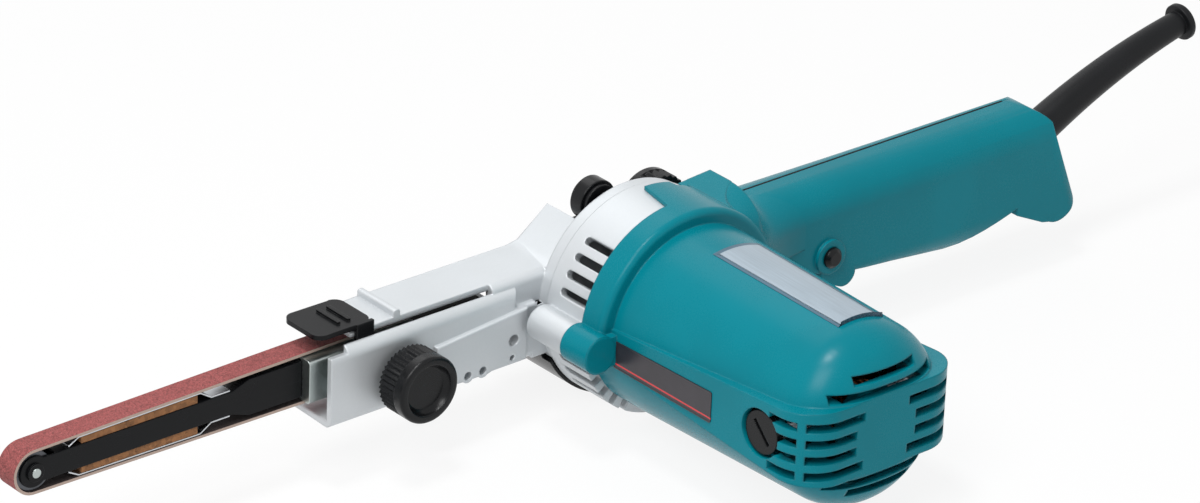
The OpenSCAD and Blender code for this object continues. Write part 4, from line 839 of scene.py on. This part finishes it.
class SANDER_OT_arm(SolidDresser, bpy.types.Operator):
    """Dresses the arm inside the belt with its slide, thumb plate, springs, pads and roller"""

    bl_idname = "sander.arm"
    bl_label = "Arm"
    rows = (("arm", "black_steel", 1), ("thumb_lever", "black_steel", 0), ("arm_bracket", "zinc_steel", 0.8),
            ("upper_platen", "leaf", 0.4), ("lower_platen", "leaf", 0.4), ("upper_pad", "cork", 0.6),
            ("lower_pad", "cork", 0.6), ("idler_roller", "dark_steel", 1))
    long_rounds = {"thumb_lever": 0.3}

    # Lengths in millimetres of the pin's riveted end and of the black sheet over the spring, which is painted
    # shade for the slot
    flange_wide, rivet_high, rivet_round, rivet_dome, face_near = 1.5, 0.3, 0.5, 0.15, 0.01
    leaf_x, leaf_w, leaf_z, leaf_len, leaf_wide, leaf_t, leaf_round = -67.5, -2.25, 6.05, 25, 10.5, 0.5, 0.8

    def execute(self, context):
        spring = dress("tension_spring", "spring_steel")
        tuple(at(-57, 0, 0))
        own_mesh(spring)
        # Painted shade: a black sheet over the spring that darkens the slot.
        self.leaf()
        self.pin()
        return super().execute(context)

    def pin(self):
        """Dresses the roller's pin: a black flange with a bright riveted end."""
        piece = merged_copy("roller_pin", "roller_pin_dressed")
        near, step = min(v.co.y for v in piece.data.vertices), self.face_near * MM
        with shaping(piece):
            pick(piece, "faces", lambda f: all(v.co.y < near + step for v in f.verts))
            bpy.ops.mesh.inset(thickness=self.flange_wide * MM, depth=0)
            draw_faces(0, -self.rivet_high * MM, 0)
            bpy.ops.mesh.inset(thickness=self.rivet_round * MM, depth=self.rivet_dome * MM)
        smooth(piece)
        settle(piece, "roller_pin", "zinc_steel", ["black_steel", "zinc_steel"], "roller_pin")
        for face in piece.data.polygons:
            face.material_index = int(face.center.y < near - step)

    def leaf(self):
        """Models a thin black sheet on the arm over the spring, painted shade that darkens the slot above it."""
        bpy.ops.mesh.primitive_plane_add(size=1, location=at(self.leaf_x, self.leaf_w, self.leaf_z))
        piece = baked("arm_leaf", (self.leaf_len * MM, self.leaf_wide * MM, 1))
        with shaping(piece):
            bpy.ops.mesh.bevel(offset=self.leaf_round * MM, segments=3, affect="VERTICES")
            bpy.ops.mesh.select_all(action="SELECT")
            draw_faces(0, 0, self.leaf_t * MM)
            turn_outwards()
        smooth(piece)
        settle(piece, "arm", "black_steel", ["black_steel"])


class SANDER_OT_knobs(SolidDresser, bpy.types.Operator):
    """Dresses the smooth knob, the brush caps and the switch controls, and models the two knurled knobs"""

    bl_idname = "sander.knobs"
    bl_label = "Knobs and Controls"
    rows = (("cover_knob", "black_plastic", 1), ("brush_caps", "black_plastic", 0),
            ("lock_button", "black_plastic", 1), ("trigger", "black_plastic", 0))
    long_rounds = {"trigger": 0.5}

    # Joint, way along the axis and number of teeth of each knurled knob; lengths in millimetres
    knurled = (("tracking_knob", "tracking_turn", -1, 40), ("clamp_knob", "clamp_turn", 1, 26))
    grip_r, grip_share, tooth_share, rim_sides = 12, 0.66, 0.94, 96
    neck_lap, grip_lap, rim_lap, face_near = 0.05, 0.1, 0.2, 0.01
    dish = ((2.9, 0), (0.5, -1.4), (1.1, -1.0))
    outer_zone, outer_round, inner_zone, inner_round = (10.8, 13), 1.2, (8, 9.6), 0.35

    def execute(self, context):
        for node, joint, way, teeth in self.knurled:
            self.knob(node, Vector(JOINT[joint]["pos_m"]), way, teeth)
        return super().execute(context)

    def knob(self, node, axis, way, teeth):
        """Models a knurled grip with a smooth dished rim on the neck that is kept of the solid."""
        def off_axis(v):
            """Distance of a vertex from the knob's axis, in millimetres."""
            return math.hypot(v.co.x - axis.x, v.co.z - axis.z) / MM

        def notch(v):
            """True for every second vertex round the grip."""
            return round(math.atan2(v.co.z - axis.z, v.co.x - axis.x) / math.pi * teeth) % 2

        def on_face(zone):
            """Test for the edges on the knob's face between two radii."""
            return lambda edge: all(abs(v.co.y - face) < self.face_near * MM and zone[0] < off_axis(v) < zone[1]
                                    for v in edge.verts)

        neck = merged_copy(node, node + "_dressed")
        ends = [v.co.y for v in neck.data.vertices if off_axis(v) > self.outer_zone[0]]
        foot, face = (max(ends), min(ends)) if way < 0 else (min(ends), max(ends))
        step = foot + (face - foot) * self.grip_share
        cut_away(neck, (axis.x, foot - way * self.neck_lap * MM, axis.z), (0, way, 0))
        grip = self.drum(axis, foot - way * self.grip_lap * MM, step, 2 * teeth)
        with shaping(grip):
            pick(grip, "verts", notch)
            bpy.ops.transform.resize(value=(self.tooth_share, 1, self.tooth_share), center_override=axis)
        rim = self.drum(axis, step - way * self.rim_lap * MM, face, self.rim_sides)
        with shaping(rim):
            pick(rim, "faces", lambda f: f.normal.y * way > 0.9)
            for width, depth in self.dish:
                bpy.ops.mesh.inset(thickness=width * MM, depth=depth * MM)
        round_edges(rim, on_face(self.outer_zone), self.outer_round * MM, 4)
        round_edges(rim, on_face(self.inner_zone), self.inner_round * MM, 3)
        only(neck)
        grip.select_set(True)
        rim.select_set(True)
        bpy.ops.object.join()
        smooth(neck, 40)
        settle(neck, node, "black_plastic", ["black_plastic"], node)

    def drum(self, axis, start, end, sides):
        """A plain drum along the knob's axis."""
        middle = (axis.x, (start + end) / 2, axis.z)
        bpy.ops.mesh.primitive_cylinder_add(vertices=sides, radius=self.grip_r * MM, depth=abs(end - start),
                                            location=middle, rotation=(math.pi / 2, 0, 0))
        return baked("drum")


class SANDER_OT_fixings(SolidDresser, bpy.types.Operator):
    """Dresses the screws, the cord clamp and the ring that keeps the head on"""

    bl_idname = "sander.fixings"
    bl_label = "Fixings"
    rows = (("housing_screws", "zinc_steel", 0.8), ("handle_screws", "zinc_steel", 0.8),
            ("clamp_screws", "zinc_steel", 0), ("cord_clamp", "zinc_steel", 0),
            ("pulley_nut", "zinc_steel", 0.8), ("pivot_ring", "bare_steel", 0.5))


class SANDER_OT_motor(SolidDresser, bpy.types.Operator):
    """Dresses the motor inside the housing"""

    bl_idname = "sander.motor"
    bl_label = "Motor"
    # The fan, its baffle and the switch body take the darkened 'shadow' look, painted shade inside the housing.
    rows = (("field_core", "bare_steel", 0), ("field_coils", "copper", 0), ("front_bearing", "bare_steel", 0),
            ("rear_bearing", "bare_steel", 0), ("bearing_sleeve", "rubber", 0), ("brush_holders", "bare_steel", 0),
            ("carbon_brushes", "carbon", 0), ("brush_springs", "spring_steel", 0), ("fan_baffle", "shadow", 0),
            ("switch_body", "shadow", 0), ("armature_shaft", "bare_steel", 0), ("armature_core", "bare_steel", 0),
            ("armature_windings", "copper", 0), ("commutator", "copper", 0), ("cooling_fan", "shadow", 0),
            ("drive_pulley", "bare_steel", 1))


class SANDER_OT_belt(Maker, bpy.types.Operator):
    """Models the abrasive belt: an edge spun round the roller and the pulley and drawn along both runs"""

    bl_idname = "sander.belt"
    bl_label = "Belt"

    spin_steps, run_steps, joint_near = 28, 48, 0.05

    def execute(self, context):
        s = context.scene.sander_sizes
        run = DRIVE.x - ROLLER.x
        tilt = math.asin((s.drive_in - s.nose_in) / run)
        start = ROLLER + Vector((-math.sin(tilt), 0, math.cos(tilt))) * s.nose_in
        bpy.ops.mesh.primitive_plane_add(size=s.belt_w, location=start)
        piece = baked("sanding_belt_dressed")
        with shaping(piece):
            pick(piece, "verts", lambda v: v.co.x > start.x)
            bpy.ops.mesh.delete(type="VERT")
            bpy.ops.mesh.select_all(action="SELECT")
            bpy.ops.transform.translate(value=(s.belt_w / 2, 0, 0))
            along = Vector((math.cos(tilt), 0, math.sin(tilt))) * run * math.cos(tilt) / self.run_steps
            for turn, axis, way in ((math.pi - 2 * tilt, ROLLER, -1), (math.pi + 2 * tilt, DRIVE, 1)):
                bpy.ops.mesh.spin(steps=self.spin_steps, angle=turn, center=axis, axis=(0, 1, 0))
                step = Vector((along.x * -way, 0, -along.z))
                for _ in range(self.run_steps):
                    draw_edges(*step)
            bpy.ops.mesh.select_all(action="SELECT")
            bpy.ops.mesh.remove_doubles(threshold=self.joint_near * MM)
            turn_outwards()
        for look in ("abrasive", "cloth", "edge"):
            piece.data.materials.append(finish_of(look))
        modify(piece, "SOLIDIFY", thickness=s.belt_t, offset=1, material_offset=1, material_offset_rim=2)
        smooth(piece, 40)
        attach(piece, BODY_OF["sanding_belt"])
        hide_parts("sanding_belt")
        return {"FINISHED"}


class SANDER_OT_cord_guard(Maker, bpy.types.Operator):
    """Models the rubber boot: rings along a bowed line, bridged, with a rim and a bore at its end"""

    bl_idname = "sander.cord_guard"
    bl_label = "Cord Guard"

    # Radii in millimetres at shares of the bowed line, for the flange in the handle's mouth
    flange = ((0.0, 8.6), (0.045, 8.6), (0.05, 7.4), (0.056, 6.75))
    root_x, root_w, root_z, sides, count = 180.5, 20, 4.4, 40, 14
    rim_len, lip_r, end_r, dish_r, dish_deep, bore_deep, end_near = 2.8, 6.6, 6.4, 5.6, 0.4, 14, 8

    def execute(self, context):
        s = context.scene.sander_sizes
        root = at(self.root_x, self.root_w, self.root_z)
        rim_r = s.guard_rim_r / MM
        radius = s.guard_chord ** 2 / (8 * s.guard_rise) + s.guard_rise / 2
        half = math.asin(s.guard_chord / 2 / radius)

        def station(share):
            """Point and slope of the bowed line at a share of its length."""
            turn = s.guard_tilt + half * (1 - 2 * share)
            first = s.guard_tilt + half
            place = root + radius * Vector((math.sin(first) - math.sin(turn), 0, math.cos(turn) - math.cos(first)))
            return place, turn

        rim = self.rim_len * MM / (2 * radius * half)
        rings, begin = list(self.flange), self.flange[-1][0]
        for i in range(1, self.count + 1):
            share = begin + (1 - rim - begin) * i / self.count
            wide = s.guard_root_r + (s.guard_tip_r - s.guard_root_r) * share
            rings.append((share, wide / MM))
        rings += [(1 - rim * 0.95, self.lip_r), (1 - rim * 0.8, rim_r), (1 - rim * 0.25, rim_r), (1.0, self.end_r)]
        piece = None
        for share, wide in rings:
            place, turn = station(share)
            bpy.ops.mesh.primitive_circle_add(vertices=self.sides, radius=wide * MM, location=place,
                                              rotation=(0, math.pi / 2 - turn, 0))
            if piece is None:
                piece = baked("cord_guard_dressed")
                bpy.ops.object.mode_set(mode="EDIT")
        bpy.ops.mesh.select_all(action="SELECT")
        bpy.ops.mesh.bridge_edge_loops(type="SINGLE")
        place, turn = station(1.0)
        way = Vector((math.cos(turn), 0, math.sin(turn)))
        pick(piece, "edges", lambda e: e.is_boundary and (e.verts[0].co - place).length < self.end_near * MM)
        last = self.end_r
        for wide, depth in ((self.dish_r, 0.0), (s.guard_bore_r / MM, -self.dish_deep)):
            draw_edges(*(way * depth * MM))
            bpy.ops.transform.resize(value=(wide / last,) * 3, center_override=place)
            last = wide
        draw_edges(*(way * -self.bore_deep * MM))
        bpy.ops.mesh.edge_face_add()
        pick(piece, "edges", lambda e: e.is_boundary)
        bpy.ops.mesh.edge_face_add()
        turn_outwards()
        bpy.ops.object.mode_set(mode="OBJECT")
        smooth(piece, 50)
        settle(piece, "cord_guard", "rubber", ["rubber"], "cord_guard")
        return {"FINISHED"}


class SANDER_OT_side_plate(Maker, bpy.types.Operator):
    """Models the bare enamel plate on the barrel's side"""

    bl_idname = "sander.side_plate"
    bl_label = "Side Plate"

    plate_x, front_w, rear_w, low_z, high_z = -34.6, 49, 98, -6.5, 3.4
    rear_rise, corner_round, rim_wide, panel_deep = 1.4, 0.8, 0.45, 0.12

    def execute(self, context):
        s = context.scene.sander_sizes
        low, high = at(self.plate_x, self.rear_w, self.low_z), at(self.plate_x, self.front_w, self.high_z)
        middle = (low + high) / 2
        bpy.ops.mesh.primitive_plane_add(size=1, location=middle, rotation=(0, -math.pi / 2, 0))
        piece = baked("side_plate", (high.z - low.z, high.y - low.y, 1))
        with shaping(piece):
            pick(piece, "verts", lambda v: v.co.y < middle.y and v.co.z > middle.z)
            bpy.ops.transform.translate(value=(0, 0, self.rear_rise * MM))
            bpy.ops.mesh.select_all(action="SELECT")
            bpy.ops.mesh.bevel(offset=self.corner_round * MM, segments=4, affect="VERTICES")
            bpy.ops.mesh.select_all(action="SELECT")
            draw_faces(-s.plate_t, 0, 0)
            bpy.ops.mesh.inset(thickness=self.rim_wide * MM, depth=0)
            draw_faces(self.panel_deep * MM, 0, 0)
            turn_outwards()
        smooth(piece, 30)
        settle(piece, "motor_housing", "black_plastic", ["plate"])
        return {"FINISHED"}


class SANDER_OT_label(Maker, bpy.types.Operator):
    """Models the bare label: a line spun a little way round the barrel, thickened"""

    bl_idname = "sander.label"
    bl_label = "Label"

    # Places along the barrel's axis and its radii there, in millimetres
    front_w, front_r, rear_w, rear_r, inside_r, cuts, steps = 64.5, 33.99, 126, 32.45, 30, 11, 18

    def execute(self, context):
        s = context.scene.sander_sizes
        turn = s.film_from
        bpy.ops.mesh.primitive_plane_add(size=1, location=DRIVE)
        piece = baked("barrel_label")
        with shaping(piece):
            pick(piece, "verts", lambda v: v.co.x > DRIVE.x)
            bpy.ops.mesh.delete(type="VERT")
            for end, w, r in ((1, self.front_w, self.front_r), (-1, self.rear_w, self.rear_r)):
                pick(piece, "verts", lambda v: (v.co.y - DRIVE.y) * end > 0.4)
                here = next(v.co.copy() for v in bmesh.from_edit_mesh(piece.data).verts if v.select)
                bpy.ops.transform.translate(value=at(r * math.sin(turn), w, r * math.cos(turn)) - here)
            bpy.ops.mesh.select_all(action="SELECT")
            bpy.ops.mesh.subdivide(number_cuts=self.cuts)
            bpy.ops.mesh.spin(steps=self.steps, angle=turn - s.film_to, center=DRIVE, axis=(0, 1, 0))
            bpy.ops.mesh.select_all(action="SELECT")
            bpy.ops.mesh.remove_doubles(threshold=TOUCH)
            turn_outwards()
        modify(piece, "SOLIDIFY", thickness=s.film_t, offset=1)
        with shaping(piece):
            pick(piece, "faces", lambda f: f.normal.dot(f.calc_center_median() - DRIVE) > self.inside_r * MM)
            bpy.ops.mesh.inset(thickness=s.film_border, depth=0, use_even_offset=True)
            inner = [face.index for face in bmesh.from_edit_mesh(piece.data).faces if face.select]
        smooth(piece, 30)
        settle(piece, "motor_housing", "silver_paint", ["film_rim", "film"])
        for index in inner:
            piece.data.polygons[index].material_index = 1
        return {"FINISHED"}


class SANDER_OT_stage(Maker, bpy.types.Operator):
    """Sets the floor, the soft lights, the white surround and the camera"""

    bl_idname = "sander.stage"
    bl_label = "Stage"

    # Lamps: place from the middle of the tool in metres, size and power
    lamps = (("key_light", (-1.0, -0.45, 1.25), 0.7, 13.4), ("top_light", (-0.36, 0.0, 1.35), 0.26, 9.0),
             ("fill_light", (0.5, -1.5, 0.6), 1.2, 1.1), ("back_light", (0.3, 1.2, 1.3), 0.9, 3.0))
    floor_len, floor_gap, floor_glow, dim = 12, 0.0002, 0.88, 0.32
    aim, lens_len, sensor_wide, clip_far = (-14.166, -16.349, 16.957), 178.72, 36, 30

    def execute(self, context):
        scene = context.scene
        scene.view_settings.view_transform = "Standard"
        self.floor(scene)
        self.surround(scene)
        middle = (Vector(SOLID_BOX[0]) + Vector(SOLID_BOX[1])) / 2
        for name, place, size, power in self.lamps:
            self.light(scene, name, middle + Vector(place), middle, size, power)
        self.camera(scene)
        return {"FINISHED"}

    def floor(self, scene):
        """Lays the pale floor, which glows for the rays that show it."""
        bpy.ops.mesh.primitive_plane_add(size=1, location=(0, 0, SOLID_BOX[0][2] - self.floor_gap))
        floor = baked("studio_floor", (self.floor_len, self.floor_len, 1))
        f = Finish("pale_floor")
        colour = tuple(scene.sander_colours.floor)
        f.wear(Base_Color=f.mix(f.noise(3, 2), shade(colour, 0.98), colour), Roughness=0.9)
        glow = f.add("ShaderNodeEmission", sockets={"Color": (1, 1, 1), "Strength": 1.0})
        lit = Field(f.tree, f.shader.outputs[0])
        both = f.add("ShaderNodeMixShader", sockets={0: shown(f.tree) * self.floor_glow, 1: lit, 2: glow})
        join(f.tree, f.tree.nodes["Material Output"].inputs["Surface"], both)
        floor.data.materials.append(f.material)

    def surround(self, scene):
        """Makes a world that is white to look at and dimmer as a light."""
        world = bpy.data.worlds.new("white_surround")
        world.use_nodes = True
        scene.world = world
        tree = world.node_tree
        sockets = tree.nodes["Background"].inputs
        join(tree, sockets["Color"], (1, 1, 1))
        join(tree, sockets["Strength"], self.dim + shown(tree) * (1 - self.dim))

    def light(self, scene, name, place, middle, size, power):
        """Hangs a square lamp that points at the middle of the tool."""
        lamp = bpy.data.lights.new(name, "AREA")
        lamp.energy = power
        lamp.size = size
        holder = bpy.data.objects.new(name, lamp)
        scene.collection.objects.link(holder)
        holder.location = place
        holder.rotation_euler = (middle - place).to_track_quat("-Z", "Y").to_euler()

    def camera(self, scene):
        """Puts the camera where the photograph was taken from."""
        s = scene.sander_sizes
        az, el, roll = s.view_az, s.view_el, s.view_roll
        back = Vector((math.sin(az) * math.cos(el), -math.cos(az) * math.cos(el), math.sin(el)))
        right = Vector((math.cos(az), math.sin(az), 0))
        up = back.cross(right)
        right, up = (right * math.cos(roll) + up * math.sin(roll), up * math.cos(roll) - right * math.sin(roll))
        lens = bpy.data.cameras.new("photo_view")
        lens.sensor_fit = "HORIZONTAL"
        lens.sensor_width = self.sensor_wide
        lens.lens = self.lens_len
        lens.clip_end = self.clip_far
        camera = bpy.data.objects.new("photo_view", lens)
        scene.collection.objects.link(camera)
        turn = Matrix((right, up, back)).transposed().to_4x4()
        aim = DRIVE + Vector(self.aim) * MM
        camera.matrix_world = Matrix.Translation(aim + back * s.view_far) @ turn
        scene.camera = camera


class SANDER_PT_panel(bpy.types.Panel):
    """Lists the pieces of the sander, its sizes and its colours"""

    bl_idname = "SANDER_PT_panel"
    bl_label = "Belt File Sander"
    bl_space_type = "VIEW_3D"
    bl_region_type = "UI"
    bl_category = "Sander"

    def draw(self, context):
        for operator in OPERATORS:
            self.layout.operator(operator.bl_idname)
        for group in (context.scene.sander_sizes, context.scene.sander_colours):
            box = self.layout.box()
            for name in group.__annotations__:
                box.prop(group, name)


OPERATORS = (SANDER_OT_stage, SANDER_OT_housing, SANDER_OT_root, SANDER_OT_lug_end, SANDER_OT_castings,
             SANDER_OT_belt, SANDER_OT_arm, SANDER_OT_knobs, SANDER_OT_cord_guard, SANDER_OT_side_plate,
             SANDER_OT_label, SANDER_OT_fixings, SANDER_OT_motor)
CLASSES = (SANDER_PG_colours, SANDER_PG_sizes, *OPERATORS, SANDER_PT_panel)


def register():
    """Registers the classes and hangs the settings on the scene."""
    for cls in CLASSES:
        bpy.utils.register_class(cls)
    bpy.types.Scene.sander_colours = bpy.props.PointerProperty(type=SANDER_PG_colours)
    bpy.types.Scene.sander_sizes = bpy.props.PointerProperty(type=SANDER_PG_sizes)


def unregister():
    """Takes the settings and the classes away again."""
    del bpy.types.Scene.sander_colours
    del bpy.types.Scene.sander_sizes
    for cls in reversed(CLASSES):
        bpy.utils.unregister_class(cls)


def main():
    """Builds every piece in order."""
    register()
    for operator in OPERATORS:
        group, name = operator.bl_idname.split(".")
        getattr(getattr(bpy.ops, group), name)()


if __name__ == "__main__":
    main()
